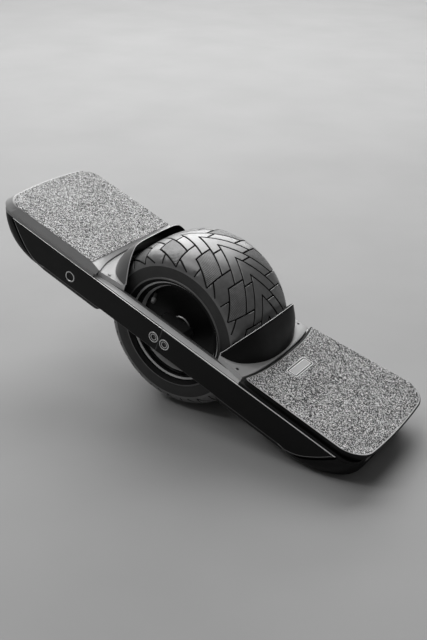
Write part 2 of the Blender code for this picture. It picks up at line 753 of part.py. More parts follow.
def make_boxes():
    """Cast trays that hang between the rails, each with a flange under them and a lid."""
    half = BOX_HALF_WIDTH
    flange_top = RAIL_BOTTOM - SEAT_GAP
    flange_half = RAIL_FACE - SEAT_GAP
    for label, sign in (("controller", -1), ("battery", 1)):
        span = sorted((sign * BOX_WHEEL_X, sign * BOX_END_X))
        box = tray(f"{label}_box", span, half, BOX_CORNER, BOX_WALL, (BOX_BOTTOM, BOX_TOP))
        reach = sorted((sign * (GUARD_STEP + BOX_CORNER), sign * (BOX_END_X - FLANGE_SETBACK)))
        flange = block(f"{label}_box_flange", reach, (-flange_half, flange_half),
                       (flange_top - FLANGE_THICKNESS, flange_top))
        combine(box, flange, "UNION")
        room = HALF_TYRE + 0.3 * RAIL_CLEARANCE
        drill(box, "wheel_room", WELL_RADIUS, (-room, room), (0, 0), WHEEL_SIDES)
        hollow = tray(f"{label}_box_hollow", (span[0] + BOX_WALL, span[1] - BOX_WALL),
                      half - BOX_WALL, BOX_CORNER - BOX_WALL, BOX_WALL,
                      (BOX_BOTTOM + BOX_WALL, BOX_TOP + 5))
        combine(box, hollow, "DIFFERENCE")
        outline = rounded_box(span, half, BOX_CORNER)
        prism(f"{label}_box_lid", outline, "Z", BOX_TOP + SEAT_GAP, LID_TOP)


def make_contents():
    """Cells and their board in the rear box, the motor controller in the front one."""
    floor = BOX_BOTTOM + BOX_WALL + SEAT_GAP
    half = BOX_HALF_WIDTH - 2.5 * BOX_WALL
    start = BOX_WHEEL_X + 2.5 * BOX_WALL
    finish = BOX_END_X - 2.5 * BOX_WALL
    headroom = BOX_TOP - floor
    board_depth = 22.0
    split = finish - board_depth
    pack = block("battery_pack", (start, split - 4), (-half, half),
                 (floor, floor + 0.86 * headroom))
    soften(pack, 2.0)
    block("battery_board", (split, finish), (-0.85 * half, 0.85 * half),
          (floor, floor + 0.6 * headroom))
    block("controller_board", (-finish, -start), (-0.95 * half, 0.95 * half),
          (floor, floor + 0.25 * headroom))


def make_cables():
    """Cables lie in the channels of the rails, up to the axle blocks."""
    radius = 3.0
    level = RAIL_BOTTOM + RAIL_WALL + SEAT_GAP + radius
    middle = (RAIL_INSIDE + WEB_INSIDE) / 2
    block_end = BLOCK_LENGTH / 2 + 2 * radius
    far = BOX_WHEEL_X - 2 * radius
    path = [(-far, -middle, level), (-2 * block_end, -middle, level),
            (-block_end, -middle, level + 4 * radius)]
    rod("motor_cable", path, radius)
    rod("battery_cable", [(far, middle, level), (block_end, middle, level)], radius)


# Bumpers and lamps

def rounded_end(half, end, corner, bulge, inner, steps=5):
    """Plan outline of one end of the board, as (x, y) pairs, bulged and with round corners."""
    reach = min(corner, end - inner - 2.0)
    quarter = []
    for k in range(steps + 1):
        turn = math.pi / 2 * k / steps
        y = half - corner + corner * math.cos(turn)
        lift = bulge * (1 - (y / half) ** 2)
        quarter.append((end - reach + reach * math.sin(turn) + lift, y))
    middle = [(end + bulge * (1 - (share * y / half) ** 2), share * y)
              for share in (0.6, 0.2, -0.2, -0.6)]
    mirrored = [(x, -y) for x, y in reversed(quarter)]
    return [(inner, half)] + quarter + middle + mirrored + [(inner, -half)]


def slice_off(item, spot, down):
    """Cuts off all that lies below a plane through a spot, and closes the cut."""
    work = bmesh.new()
    work.from_mesh(item.data)
    everything = work.verts[:] + work.edges[:] + work.faces[:]
    bmesh.ops.bisect_plane(work, geom=everything, plane_co=Vector(spot) * MM,
                           plane_no=Vector(down), clear_outer=True)
    bmesh.ops.holes_fill(work, edges=[e for e in work.edges if e.is_boundary])
    bmesh.ops.recalc_face_normals(work, faces=work.faces)
    work.to_mesh(item.data)
    work.free()


def bumper_body(name, sign):
    """Flush with the guards, with corners that grow rounder down to a skid on the floor.

    In front of the skid its underside rises to the guards' lower edges.
    """
    rise = RAIL_TOP - END_SLOPE[-1][0] - GUARD_ROOM + SKID_DEPTH
    height = BUMPER_TOP + SKID_DEPTH
    half = GUARD_FACE - 0.9
    # Share of the height, of the draw-in of the sides and of the growth of the corners
    levels = [(0.0, 1.0, 1.0), (0.1, 0.45, 0.91), (0.25, 0.1, 0.67), (0.5, 0.0, 0.35),
              (0.8, 0.0, 0.09), (1.0, 0.0, 0.0)]
    loops = []
    for share, draw, growth in levels:
        corner = BUMPER_CORNER + growth * (SKID_CORNER - BUMPER_CORNER)
        outline = rounded_end(half - draw * SKID_DRAW, BUMPER_END, corner, 0.7 * FRONT_BULGE,
                              BUMPER_INSIDE)
        loops.append([(sign * x, y, share * height - SKID_DEPTH) for x, y in outline])
    body = loft(name, loops)
    heel = (sign * HEEL_X, 0, -SKID_DEPTH)
    slice_off(body, heel, (sign * math.sin(LEAN), 0, -math.cos(LEAN)))
    slice_off(body, heel, (-sign * rise, 0, BUMPER_INSIDE - HEEL_X))
    return body


def rail_end_room(name, sign, y_sign):
    """The space that a rail and its guard take out of a bumper."""
    start = BUMPER_INSIDE - GUARD_ROOM
    outline = [(sign * start, RAIL_TOP - END_SLOPE[-1][0] - GUARD_ROOM)]
    for depth, setback in reversed(END_SLOPE):
        x = RAIL_END - setback + GUARD_ROOM
        outline.append((sign * x, RAIL_TOP - depth - GUARD_ROOM))
    outline.append((sign * (RAIL_END + GUARD_ROOM), BUMPER_TOP + RAIL_DEPTH))
    outline.append((sign * start, BUMPER_TOP + RAIL_DEPTH))
    low, high = sorted((y_sign * (RAIL_INSIDE - RUNNING_GAP),
                        y_sign * (GUARD_FACE + RAIL_DEPTH)))
    return prism(name, outline, "Y", low, high)


def make_bumpers():
    for end, sign in ends_of_board():
        name = f"{end}_bumper"
        body = bumper_body(name, sign)
        for side, y_sign in sides_of_board():
            cutter = rail_end_room(f"{name}_{side}_rail_room", sign, y_sign)
            combine(body, cutter, "DIFFERENCE")
        span = sorted((sign * (BUMPER_INSIDE - GUARD_ROOM), sign * (BOX_END_X + SEAT_GAP)))
        width = BOX_HALF_WIDTH + SEAT_GAP
        room = block(f"{name}_box_room", span, (-width, width),
                     (BOX_BOTTOM - SKID_DEPTH, BUMPER_TOP + RAIL_DEPTH))
        combine(body, room, "DIFFERENCE")
        middle = (RAIL_TOP + BOX_BOTTOM) / 2
        span = sorted((sign * (BOX_END_X - BOX_WALL), sign * (BUMPER_END - BUMPER_WALL)))
        width = 0.87 * BOX_HALF_WIDTH
        hollow = block(f"{name}_hollow", span, (-width, width), (middle - 12.0, middle + 22.0))
        combine(body, hollow, "DIFFERENCE")
        face = BUMPER_END + BUMPER_OVERHANG
        half = LAMP_WIDTH / 2
        lamp_low = middle + 0.3 * LAMP_HEIGHT
        lamp_z = (lamp_low, lamp_low + LAMP_HEIGHT)
        span = sorted((sign * (BUMPER_END - 1.25 * BUMPER_WALL), sign * face))
        slot = block(f"{name}_lamp_slot", span, (-half, half), lamp_z)
        combine(body, slot, "DIFFERENCE")
        lamp = bumper_body(f"{end}_lamp", sign)
        span = sorted((sign * (BUMPER_END - BUMPER_WALL + SEAT_GAP), sign * face))
        keep = block(f"{end}_lamp_room", span, (SEAT_GAP - half, half - SEAT_GAP),
                     (lamp_z[0] + SEAT_GAP, lamp_z[1] - SEAT_GAP))
        combine(lamp, keep, "INTERSECT")


# Foot pads

def fender_edge_x(y):
    """Where a fender's outer edge lies, as it curves back towards the rails."""
    back = interpolate([(0, 0.0), (0.17, 0.0), (0.36, 0.03), (0.51, 0.08), (0.68, 0.17),
                        (0.83, 0.31), (0.934, 0.45), (1.0, 0.57), (1.18, 0.81)],
                       abs(y) / FENDER_HALF)
    return FENDER_EDGE - back * FENDER_REACH


def corner_fall(share, half, corner):
    """How far the rounded corner has drawn back, at a share of the half width."""
    past = abs(share) * half - (half - corner)
    if past <= 0:
        return 0.0
    return corner - math.sqrt(max(corner * corner - past * past, 0.0))


SHARES = (-1, -0.985, -0.95, -0.9, -0.82, -0.7, -0.35, 0, 0.35, 0.7, 0.82, 0.9, 0.95, 0.985, 1)


def grid_solid(name, top, bottom):
    """Closes two grids of points of the same size, top and bottom, with side walls."""
    rows, columns = len(top), len(top[0])
    points = [point for row in top + bottom for point in row]
    base = rows * columns
    faces = []
    for i in range(rows - 1):
        for j in range(columns - 1):
            a = i * columns + j
            quad = (a, a + 1, a + columns + 1, a + columns)
            faces.append(quad)
            faces.append(tuple(base + k for k in reversed(quad)))
    edge = [j for j in range(columns)]
    edge += [i * columns + columns - 1 for i in range(1, rows)]
    edge += [(rows - 1) * columns + j for j in range(columns - 2, -1, -1)]
    edge += [i * columns for i in range(rows - 2, 0, -1)]
    for a, b in zip(edge, edge[1:] + edge[:1]):
        faces.append((a, b, base + b, base + a))
    return add_mesh(name, points, faces)


def pad_rows(sign, stops, half_at, end, corner, bulge, wheel_x, height):
    """Grid rows from the wheel to the end of a pad, the last along its rounded end."""
    half = half_at(1.0)
    rows = []
    for stop in stops:
        row = []
        for share in SHARES:
            start = wheel_x(share)
            finish = end + bulge * (1 - share * share) - corner_fall(share, half, corner)
            x = start + (finish - start) * stop
            row.append((sign * x, share * half_at(stop), height(x, share)))
        rows.append(row)
    return rows


def make_front_pad():
    """The flat front pad: a sloping band round it, and a sensor under its grip."""
    half = GUARD_FACE - FRONT_BORDER
    top = FRONT_GRIP_TOP - GRIP_THICKNESS - SEAT_GAP
    grip_edge = FENDER_EDGE + 2.6

    def rows(stops, wheel_x, side, flare, height):
        return pad_rows(-1, stops, lambda stop: half + side, FRONT_END + flare, FRONT_CORNER,
                        FRONT_BULGE, wheel_x, lambda x, share: height)

    def seam(share):
        return fender_edge_x(share * (half + BAND_SLOPE)) + 1.0

    def straight(share):
        return grip_edge

    stops = (0, 0.5, 1)
    upper = rows((0,), seam, 0, 0, FENDER_TOP + 1.0) + rows(stops, straight, 0, 0, top)
    lower = rows((0,), seam, BAND_SLOPE, BAND_FLARE, PAD_BOTTOM)
    lower += rows(stops, straight, BAND_SLOPE, BAND_FLARE, PAD_BOTTOM)
    pad = grid_solid("front_footpad", upper, lower)
    inset = 14.0
    reach = (-(FRONT_END - 1.6 * inset), -(grip_edge + inset))
    width = half - inset
    pocket = block("sensor_pocket", reach, (-width, width), (top - 1.4, top + 4))
    combine(pad, pocket, "DIFFERENCE")
    block("foot_sensor", (reach[0] + SEAT_GAP, reach[1] - SEAT_GAP),
          (SEAT_GAP - width, width - SEAT_GAP), (top - 1.0, top - 0.3))
    grid_solid("front_grip_tape", rows((0, 1), straight, 0, 0, FRONT_GRIP_TOP),
               rows((0, 1), straight, 0, 0, FRONT_GRIP_TOP - GRIP_THICKNESS))


def rear_half(stop):
    """Half width of the rear pad, which widens towards its end."""
    narrow = GUARD_FACE - REAR_BORDER
    return narrow + (REAR_FLARE + REAR_BORDER) * stop


def rear_top(x, share):
    """Height of the rear pad's walking surface: it rises to the end and is dished."""
    start = FENDER_EDGE - 7.0
    t = min((x - start) / (REAR_END - start), 1)
    edge = REAR_RISE_WHEEL + (REAR_RISE_END - REAR_RISE_WHEEL) * t
    return PAD_BOTTOM + edge - REAR_DISH * t * (1 - share * share)


def make_rear_pad():
    """The rear pad: a dished kick tail whose wheel end follows the fender's curve."""
    stops = (0, 0.33, 0.66, 0.9, 1)

    def seam(share):
        past = max(abs(share) - 0.955, 0) / 0.045
        corner = REAR_WHEEL_CORNER * (1 - math.sqrt(1 - min(past, 1.0) ** 2))
        return fender_edge_x(share * rear_half(0)) + PAD_GAP + corner

    def rows(drop):
        return pad_rows(1, stops, rear_half, REAR_END, REAR_CORNER, REAR_BULGE, seam,
                        lambda x, share: rear_top(x, share) - drop)

    foot = pad_rows(1, stops, lambda stop: GUARD_FACE - 5.0, BUMPER_END + 4.0, 30.0,
                    FRONT_BULGE, seam, lambda x, share: PAD_BOTTOM)
    grid_solid("rear_footpad", rows(GRIP_THICKNESS + SEAT_GAP), foot)
    grid_solid("rear_grip_tape", rows(0), rows(GRIP_THICKNESS))


def make_pad_bases():
    """Plates that carry the pads on the rails, flush with the guards."""
    for end, sign in ends_of_board():
        outline = rounded_end(GUARD_FACE - 1.0, BUMPER_END + 3.0, 23.0, 0.7 * FRONT_BULGE,
                              FENDER_EDGE - 10.0)
        for share in (-0.93, -0.75, -0.52, 0.0, 0.52, 0.75, 0.93):
            y = share * FENDER_HALF
            outline.append((fender_edge_x(y) + 1.5, y))
        outline = [(sign * x, y) for x, y in outline]
        prism(f"{end}_pad_base", outline, "Z", BASE_BOTTOM, BASE_TOP)


def make_badge():
    """A bare raised frame, where such boards carry a badge."""
    centre = (FENDER_EDGE + 37.8, -5.5)
    half = (10.6, 28.0)
    corner = 4.0
    loops = []
    for inset, lift in ((0, 0.35), (0, 0.95), (2.0, 0.95), (2.0, 0.35)):
        radius = corner - 0.5 * inset
        loop = []
        for quarter in range(4):
            x_sign = 1 if quarter in (0, 3) else -1
            y_sign = 1 if quarter in (0, 1) else -1
            for k in range(4):
                angle = math.radians(90 * quarter + 30 * k)
                x = centre[0] + x_sign * (half[0] - inset - radius) + radius * math.cos(angle)
                y = centre[1] + y_sign * (half[1] - inset - radius) + radius * math.sin(angle)
                loop.append((x, y, rear_top(x, y / rear_half(0.15)) + lift))
        loops.append(loop)
    loft("badge_frame", loops, ring=True)


# Fenders

# From the rail to the middle, the lip's base as a share of the half width, and its distance
# out from the tyre's radius as a share of the lip's height; the same for its rim, with its
# height as a share
LIP_BASE = [(0.936, -0.73), (0.9, -0.46), (0.825, -0.225), (0.695, -0.03), (0.535, 0.13),
            (0.37, 0.24), (0.18, 0.295), (0.0, 0.305)]
LIP_RIM = [(0.925, -0.75, 0.11), (0.882, -0.67, 0.25), (0.821, -0.56, 0.475),
           (0.726, -0.435, 0.72), (0.585, -0.32, 0.93), (0.425, -0.285, 0.99),
           (0.208, -0.275, 1.0), (0.0, -0.27, 1.0)]
FLANGE_SHARES = (1.0, 0.934, 0.83, 0.68, 0.51, 0.36, 0.17, 0.0)


def fender_stations():
    """(flange edge, lip base, lip rim) from one rail to the other."""
    half = []
    for share, (base_y, base_x), (rim_y, rim_x, rim_z) in zip(FLANGE_SHARES, LIP_BASE, LIP_RIM):
        edge_y = share * FENDER_HALF
        half.append(((fender_edge_x(edge_y), edge_y),
                     (TYRE_RADIUS + base_x * LIP_HEIGHT, base_y * FENDER_HALF),
                     (TYRE_RADIUS + rim_x * LIP_HEIGHT, rim_y * FENDER_HALF,
                      FENDER_TOP + rim_z * LIP_HEIGHT)))
    other = []
    for edge, base, rim in half[-2::-1]:
        other.append(((edge[0], -edge[1]), (base[0], -base[1]), (rim[0], -rim[1], rim[2])))
    return half + other


def fender_section(edge, base, rim):
    """Cross-section of the fender: a flange on the rails, and a lip along the tyre."""
    ex, ey = edge
    bx, by = base
    tx, ty, tz = rim
    fillet = Vector((ex - bx, ey - by)).normalized() * 0.9 * LIP_FILLET
    inward = Vector((-bx, -0.35 * by)).normalized() * LIP_THICKNESS
    foot = FENDER_TOP + LIP_FILLET
    bulge = 1 + 0.02 * (tz - foot) / LIP_HEIGHT
    mx, my = 0.5 * bulge * (bx + tx), 0.5 * bulge * (by + ty)
    mz = foot + 0.53 * (tz - foot)
    return [
        (ex, ey, FENDER_BOTTOM), (ex, ey, FENDER_TOP - 0.8), (ex - 0.6, 0.993 * ey, FENDER_TOP),
        (bx + fillet.x, by + fillet.y, FENDER_TOP), (bx, by, foot),
        (mx, my, mz), (tx, ty, tz), (tx + 0.8 * inward.x, ty + inward.y, tz),
        (mx + inward.x, my + inward.y, mz), (bx + inward.x, by + inward.y, FENDER_BOTTOM),
    ]


def make_fenders():
    for end, sign in ends_of_board():
        loops = []
        for edge, base, rim in fender_stations():
            section = fender_section(edge, base, rim)
            loops.append([(sign * x, y, z) for x, y, z in section])
        fender = loft(f"{end}_fender", loops)
        low = FENDER_BOTTOM + 1.0
        high = FENDER_TOP - 0.2
        head = high - 1.3
        for side, y_sign in sides_of_board():
            spot = (sign * (FENDER_EDGE - 28.0), y_sign * 0.918 * FENDER_HALF)
            name = f"{side}_{end}_fender_screw"
            shank = 0.58 * SCREW_RADIUS
            turned_up(name, [(shank, low), (shank, head), (SCREW_RADIUS, head),
                             (SCREW_RADIUS, high - 0.3), (0.85 * SCREW_RADIUS, high)], 10, spot)
            stations = [(shank + SEAT_GAP, low - 0.4), (shank + SEAT_GAP, head - 0.5),
                        (SCREW_RADIUS + SEAT_GAP, head - 0.4), (SCREW_RADIUS + SEAT_GAP, high + 2)]
            hole = turned_up(f"{name}_hole", stations, 10, spot)
            combine(fender, hole, "DIFFERENCE")


def finish_all():
    """Gives every piece a material of its own, and smooth faces between sharp edges."""
    for item in bpy.context.scene.objects:
        if item.type != "MESH" or item.hide_render:
            continue
        words = [word for word in FINISH_OF if word in item.name]
        colour, roughness, metallic = FINISHES[FINISH_OF[words[-1]] if words else "black plastic"]
        material = bpy.data.materials.new(item.name)
        material.use_nodes = True
        shader = material.node_tree.nodes["Principled BSDF"].inputs
        shader["Base Color"].default_value = (*colour, 1.0)
        shader["Roughness"].default_value = roughness
        shader["Metallic"].default_value = metallic
        item.data.materials.append(material)
        item.data.shade_smooth()
        item.data.set_sharp_from_angle(angle=math.radians(30))


def set_on_floor():
    """Leans the board about its axle and puts the middle of its outline at the origin."""
    board.matrix_world = Matrix.Rotation(LEAN, 4, "Y")
    bpy.context.view_layer.update()
    graph = bpy.context.evaluated_depsgraph_get()
    reach = []
    for item in bpy.context.scene.objects:
        if item.type == "MESH" and not item.hide_render:
            shape = item.evaluated_get(graph)
            reach.extend((shape.matrix_world @ v.co).x for v in shape.data.vertices)
    board.location = (-(min(reach) + max(reach)) / 2, 0, TYRE_RADIUS * MM)
    print("axle at", [round(value / MM, 3) for value in board.location])


def build():
    global board
    for item in list(bpy.data.objects):
        bpy.data.objects.remove(item)
    board = bpy.data.objects.new("board", None)
    bpy.context.scene.collection.objects.link(board)
    make_tyre()
    make_rim()
    make_hub_covers()
    make_motor()
    make_valve()
    make_axle_blocks()
    make_bolts()
    make_rails()
    make_guards()
    make_button()
    make_boxes()
    make_contents()
    make_cables()
    make_bumpers()
    make_front_pad()
    make_rear_pad()
    make_pad_bases()
    make_badge()
    make_fenders()
    finish_all()
    set_on_floor()


build()
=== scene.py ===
"""Looks of the one-wheeled electric skateboard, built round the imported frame.

Shapes are laid out in millimetres in the board's own frame, as the solids are: X along the
rails towards the rear, Y across (the left rail at minus Y), Z up, with the axle at the origin.
"""

import json
import math

import bmesh
import bpy
import numpy as np
from mathutils import Matrix, Vector
from mathutils.geometry import delaunay_2d_cdt


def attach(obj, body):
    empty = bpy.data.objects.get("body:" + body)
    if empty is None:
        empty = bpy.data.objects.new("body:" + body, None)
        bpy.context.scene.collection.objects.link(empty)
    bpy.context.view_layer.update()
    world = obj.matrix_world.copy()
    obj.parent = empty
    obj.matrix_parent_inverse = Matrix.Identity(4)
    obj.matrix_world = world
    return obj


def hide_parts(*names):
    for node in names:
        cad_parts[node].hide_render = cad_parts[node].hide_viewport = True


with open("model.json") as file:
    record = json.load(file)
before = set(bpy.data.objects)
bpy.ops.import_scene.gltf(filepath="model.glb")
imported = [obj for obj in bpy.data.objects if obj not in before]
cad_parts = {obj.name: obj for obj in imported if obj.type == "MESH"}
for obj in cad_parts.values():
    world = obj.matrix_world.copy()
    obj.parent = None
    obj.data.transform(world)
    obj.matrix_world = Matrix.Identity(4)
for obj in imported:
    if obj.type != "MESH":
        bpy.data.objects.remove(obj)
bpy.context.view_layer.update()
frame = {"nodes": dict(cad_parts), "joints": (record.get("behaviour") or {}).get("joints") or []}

MM = 0.001
LEFT_RIGHT = (("left", -1), ("right", 1))
FRONT_REAR = (("front", -1), ("rear", 1))
CORNERS = [(*side, *end) for side in LEFT_RIGHT for end in FRONT_REAR]

# Sizes shared with the solids
TYRE_RADIUS = 146.0
HALF_TYRE = 82.0
SHOULDER_DROP = 31.3
SHOULDER_POWER = 0.75
EDGE_RADIUS = TYRE_RADIUS - SHOULDER_DROP
TREAD_PITCHES = 12
PITCH = 2 * math.pi * TYRE_RADIUS / TREAD_PITCHES
GROOVE_WIDTH = 2.6
GROOVE_DEPTH = 4.5
SHOULDER_GROOVE_DEPTH = 1.6
RIM_RADIUS = 82.0
RIM_FACE = 77.0
RIM_LIP_RADIUS = 89.5
BARREL_BORE = 75.5
COVER_FACE = 54.0
BOSS_FACE = 58.0
RAIL_INSIDE = 92.0
RAIL_FACE = 114.0
WEB_INSIDE = 110.0
RAIL_TOP = 26.5
RAIL_BOTTOM = -21.5
RAIL_WALL = 4.0
RAIL_END = 346.0
RAIL_SETBACK = 9.0
GUARD_INSIDE = 114.4
GUARD_FACE = 117.5
GUARD_LOW = -26.5
GUARD_MID = -21.0
GUARD_STEP = 128.0
GUARD_ROOM = 3.8
SEAT_GAP = 0.4
BOLT_SPACING = 23.0
BOLT_HEAD = 10.0
BUTTON = (-201.2, -4.0)
BEZEL_RADIUS = 10.5
BOX_END_X = 299.0
BOX_HALF_WIDTH = 91.4
BOX_BOTTOM = -33.0
PAD_BOTTOM = 33.1
FRONT_GRIP_TOP = 45.6
GRIP_THICKNESS = 0.9
FRONT_END = 372.7
FRONT_BULGE = 8.8
FRONT_CORNER = 28.0
FRONT_BORDER = 10.3
BAND_FLARE = 11.0
REAR_END = 387.4
REAR_BULGE = 6.1
REAR_CORNER = 39.0
REAR_WHEEL_CORNER = 12.0
REAR_BORDER = 8.5
REAR_FLARE = 4.1
REAR_RISE_WHEEL = 5.7
REAR_RISE_END = 21.2
REAR_DISH = 6.7
BUMPER_END = 376.0
BUMPER_WALL = 16.0
BUMPER_CORNER = 20.0
FENDER_EDGE = 167.0
FENDER_BOTTOM = 26.9
FENDER_TOP = 35.9
FENDER_HALF = 106.0
FENDER_REACH = 21.0
LIP_HEIGHT = 57.0
LIP_THICKNESS = 2.4
LIP_FILLET = 2.8
PAD_GAP = 6.5
SKID_DEPTH = 36.23
SKID_CORNER = 95.0
HEEL_X = 320.0
END_SLOPE = [(0.0, 0.0), (6.5, 6.0), (18.5, 18.0), (30.5, 32.0), (40.8, 46.0), (47.5, 60.0),
             (51.3, 74.0), (53.0, 84.0)]
BUMPER_INSIDE = RAIL_END - END_SLOPE[-1][1]
VALVE_ANGLE = 157.0

# Sizes of the detail
HATCH_SPACING = 2.7
TREAD_COLUMNS = 11
TREAD_ROWS = 13
CHAMFER = 0.5
CHAMFER_DROP = 0.55
RING_WIDTH = 1.2
RING_DEPTH = 1.3
POINT_ROOM = 4.0
GUARD_SPREAD = 3.4
GUARD_SEAM = 0.3
REAR_SET_BACK = 1.3

# The board's frame leans about the axle until the rear skid's heel meets the floor
LEAN = math.asin(TYRE_RADIUS / math.hypot(HEEL_X, SKID_DEPTH)) - math.atan2(SKID_DEPTH, HEEL_X)
TOP = math.pi / 2 + LEAN
AXLE = Vector(next(j["pos_m"] for j in frame["joints"] if j["name"] == "wheel_spin"))
TO_WORLD = Matrix.Translation(AXLE) @ Matrix.Rotation(LEAN, 4, "Y") @ Matrix.Scale(MM, 4)


def interpolate(table, value):
    """Reads a table of (input, output) pairs, joined by straight lines."""
    inputs, outputs = zip(*table)
    return float(np.interp(value, inputs, outputs))


def span(sign, start, end):
    """Two distances from the middle on the side that the sign gives, the lower one first."""
    return sorted((sign * start, sign * end))


def beside(level, *pairs):
    """(radius, y) pairs whose y is counted from a level."""
    return [(radius, level + offset) for radius, offset in pairs]


def marked(count, chosen):
    """A list of 0 in which the chosen places hold 1."""
    return [int(k in chosen) for k in range(count)]


def each(kinds, times):
    """A list in which every entry stands several times in a row."""
    return [kind for kind in kinds for k in range(times)]


def smooth_through(rows, steps):
    """Points on a smooth curve through rows of numbers, with steps to each span."""
    rows = np.array(rows, float)
    padded = np.vstack([2 * rows[0] - rows[1], rows, 2 * rows[-1] - rows[-2]])
    found = []
    for k in range(len(rows) - 1):
        a, b, c, d = padded[k:k + 4]
        for t in np.arange(steps) / steps:
            found.append(0.5 * (2 * b + (c - a) * t + (2 * a - 5 * b + 4 * c - d) * t ** 2
                                + (3 * b - a - 3 * c + d) * t ** 3))
    found.append(rows[-1])
    return found


# Materials

class Finish:
    """A procedural material whose textures are laid out in millimetres of the board's frame."""

    def __init__(self, name, roughness=0.5, metallic=0.0, **sockets):
        self.material = bpy.data.materials.new(name)
        self.material.use_nodes = True
        self.tree = self.material.node_tree
        self.shader = self.tree.nodes["Principled BSDF"]
        self.shader.inputs["Metallic"].default_value = metallic
        self.shader.inputs["Roughness"].default_value = roughness
        for label, value in sockets.items():
            self.shader.inputs[label.replace("_", " ")].default_value = value
        inverse = (TO_WORLD @ Matrix.Scale(1 / MM, 4)).inverted()
        spot = self.add("ShaderNodeTexCoord").outputs["Object"]
        turned = self.add("ShaderNodeMapping", {"Vector": spot})
        turned.inputs["Location"].default_value = inverse.to_translation() / MM
        turned.inputs["Rotation"].default_value = inverse.to_euler()
        turned.inputs["Scale"].default_value = (1 / MM,) * 3
        self.place = turned.outputs["Vector"]

    def add(self, kind, inputs=None, **settings):
        node = self.tree.nodes.new(kind)
        for key, value in settings.items():
            setattr(node, key, value)
        for key, value in (inputs or {}).items():
            self.feed(node.inputs[key], value)
        return node

    def feed(self, socket, value):
        if isinstance(value, bpy.types.NodeSocket):
            self.tree.links.new(value, socket)
        else:
            socket.default_value = value

    def noise(self, size, detail=2.0, stretch=(1, 1, 1)):
        """Noise whose features are about size millimetres across."""
        where = self.add("ShaderNodeMapping", {"Vector": self.place, "Scale": stretch})
        node = self.add("ShaderNodeTexNoise", {"Vector": where.outputs["Vector"],
                                               "Scale": 1 / size, "Detail": detail})
        return node.outputs["Fac"]

    def math(self, operation, first, second):
        return self.add("ShaderNodeMath", {0: first, 1: second}, operation=operation).outputs[0]

    def weighted(self, first, second, share):
        """Adds two values up: the second counts for share, and the first for the rest."""
        return self.math("ADD", self.math("MULTIPLY", first, 1 - share),
                         self.math("MULTIPLY", second, share))

    def ramp(self, value, stops):
        """Reads (position, grey) stops with a value from 0 to 1."""
        node = self.add("ShaderNodeValToRGB", {"Fac": value})
        marks = node.color_ramp.elements
        while len(marks) < len(stops):
            marks.new(0.5)
        for mark, (position, grey) in zip(marks, stops):
            mark.position = position
            mark.color = (grey, grey, grey, 1.0)
        return node.outputs["Color"]

    def times(self, first, second):
        node = self.add("ShaderNodeMix", {"Factor": 1.0, 6: first, 7: second}, data_type="RGBA",
                        blend_type="MULTIPLY")
        return node.outputs[2]

    def colour(self, value):
        self.feed(self.shader.inputs["Base Color"], value)
        return self

    def patchy(self, value, grey, spread):
        """Colours the surface a little darker and lighter than a grey, as value goes up."""
        return self.colour(self.ramp(value, [(0.3, grey * (1 - spread)),
                                             (0.7, grey * (1 + spread))]))

    def rough(self, value, low, high):
        node = self.add("ShaderNodeMapRange", {"Value": value, "To Min": low, "To Max": high})
        self.feed(self.shader.inputs["Roughness"], node.outputs[0])
        return self

    def bump(self, height, depth):
        """Bump whose full height is depth millimetres, on top of the bump already there."""
        node = self.add("ShaderNodeBump", {"Height": height, "Distance": depth * MM})
        if self.shader.inputs["Normal"].is_linked:
            self.feed(node.inputs["Normal"], self.shader.inputs["Normal"].links[0].from_socket)
        self.feed(self.shader.inputs["Normal"], node.outputs["Normal"])
        return self


def moulded(name, grey, roughness, spread=0.15, grain=0.8, depth=0.05, **sockets):
    """Moulded plastic or rubber: fine grain, faint cloudy patches and uneven gloss."""
    made = Finish(name, roughness, **sockets)
    cloud = made.noise(38.0, 4.0)
    fine = made.noise(grain, 2.0)
    made.patchy(made.weighted(cloud, fine, 0.3), grey, spread)
    made.rough(made.noise(21.0, 5.0), roughness * 0.85, min(roughness * 1.15, 1.0))
    return made.bump(fine, depth)


def machined(name, grey, roughness, stretch=(0.02, 1, 1), metallic=0.9):
    """Metal with fine lines along it and faint patches."""
    made = Finish(name, roughness, metallic)
    lines = made.noise(0.5, 3.0, stretch)
    cloud = made.noise(60.0, 3.0)
    made.patchy(made.weighted(cloud, lines, 0.5), grey, 0.12)
    made.rough(lines, roughness * 0.8, min(roughness * 1.25, 1.0))
    return made.bump(lines, 0.02)


def smooth_plastic(name, grey, roughness=0.4, spread=0.06):
    return moulded(name, grey, roughness, spread, 1.1, 0.03)


def gritty(name, dark, middle):
    """Grip tape: grains of mineral, some dark and some catching the light."""
    light, size, band = 0.95, 1.15, 0.12
    made = Finish(name, 0.85)
    grains = made.add("ShaderNodeTexVoronoi", {"Vector": made.place, "Scale": 1 / size})
    speckle = made.add("ShaderNodeSeparateColor", {0: grains.outputs["Color"]}).outputs[0]
    fine = made.noise(size * 0.6, 1.0)
    cloud = made.noise(45.0, 4.0)
    mixed = made.weighted(speckle, fine, 0.25)
    mixed = made.math("ADD", mixed, made.math("MULTIPLY", made.math("SUBTRACT", cloud, 0.5), 0.2))
    made.colour(made.ramp(mixed, [(middle - band, dark), (middle, dark + 0.35 * (light - dark)),
                                  (middle + band, light)]))
    made.bump(fine, 0.4)
    return made.bump(speckle, 0.3)


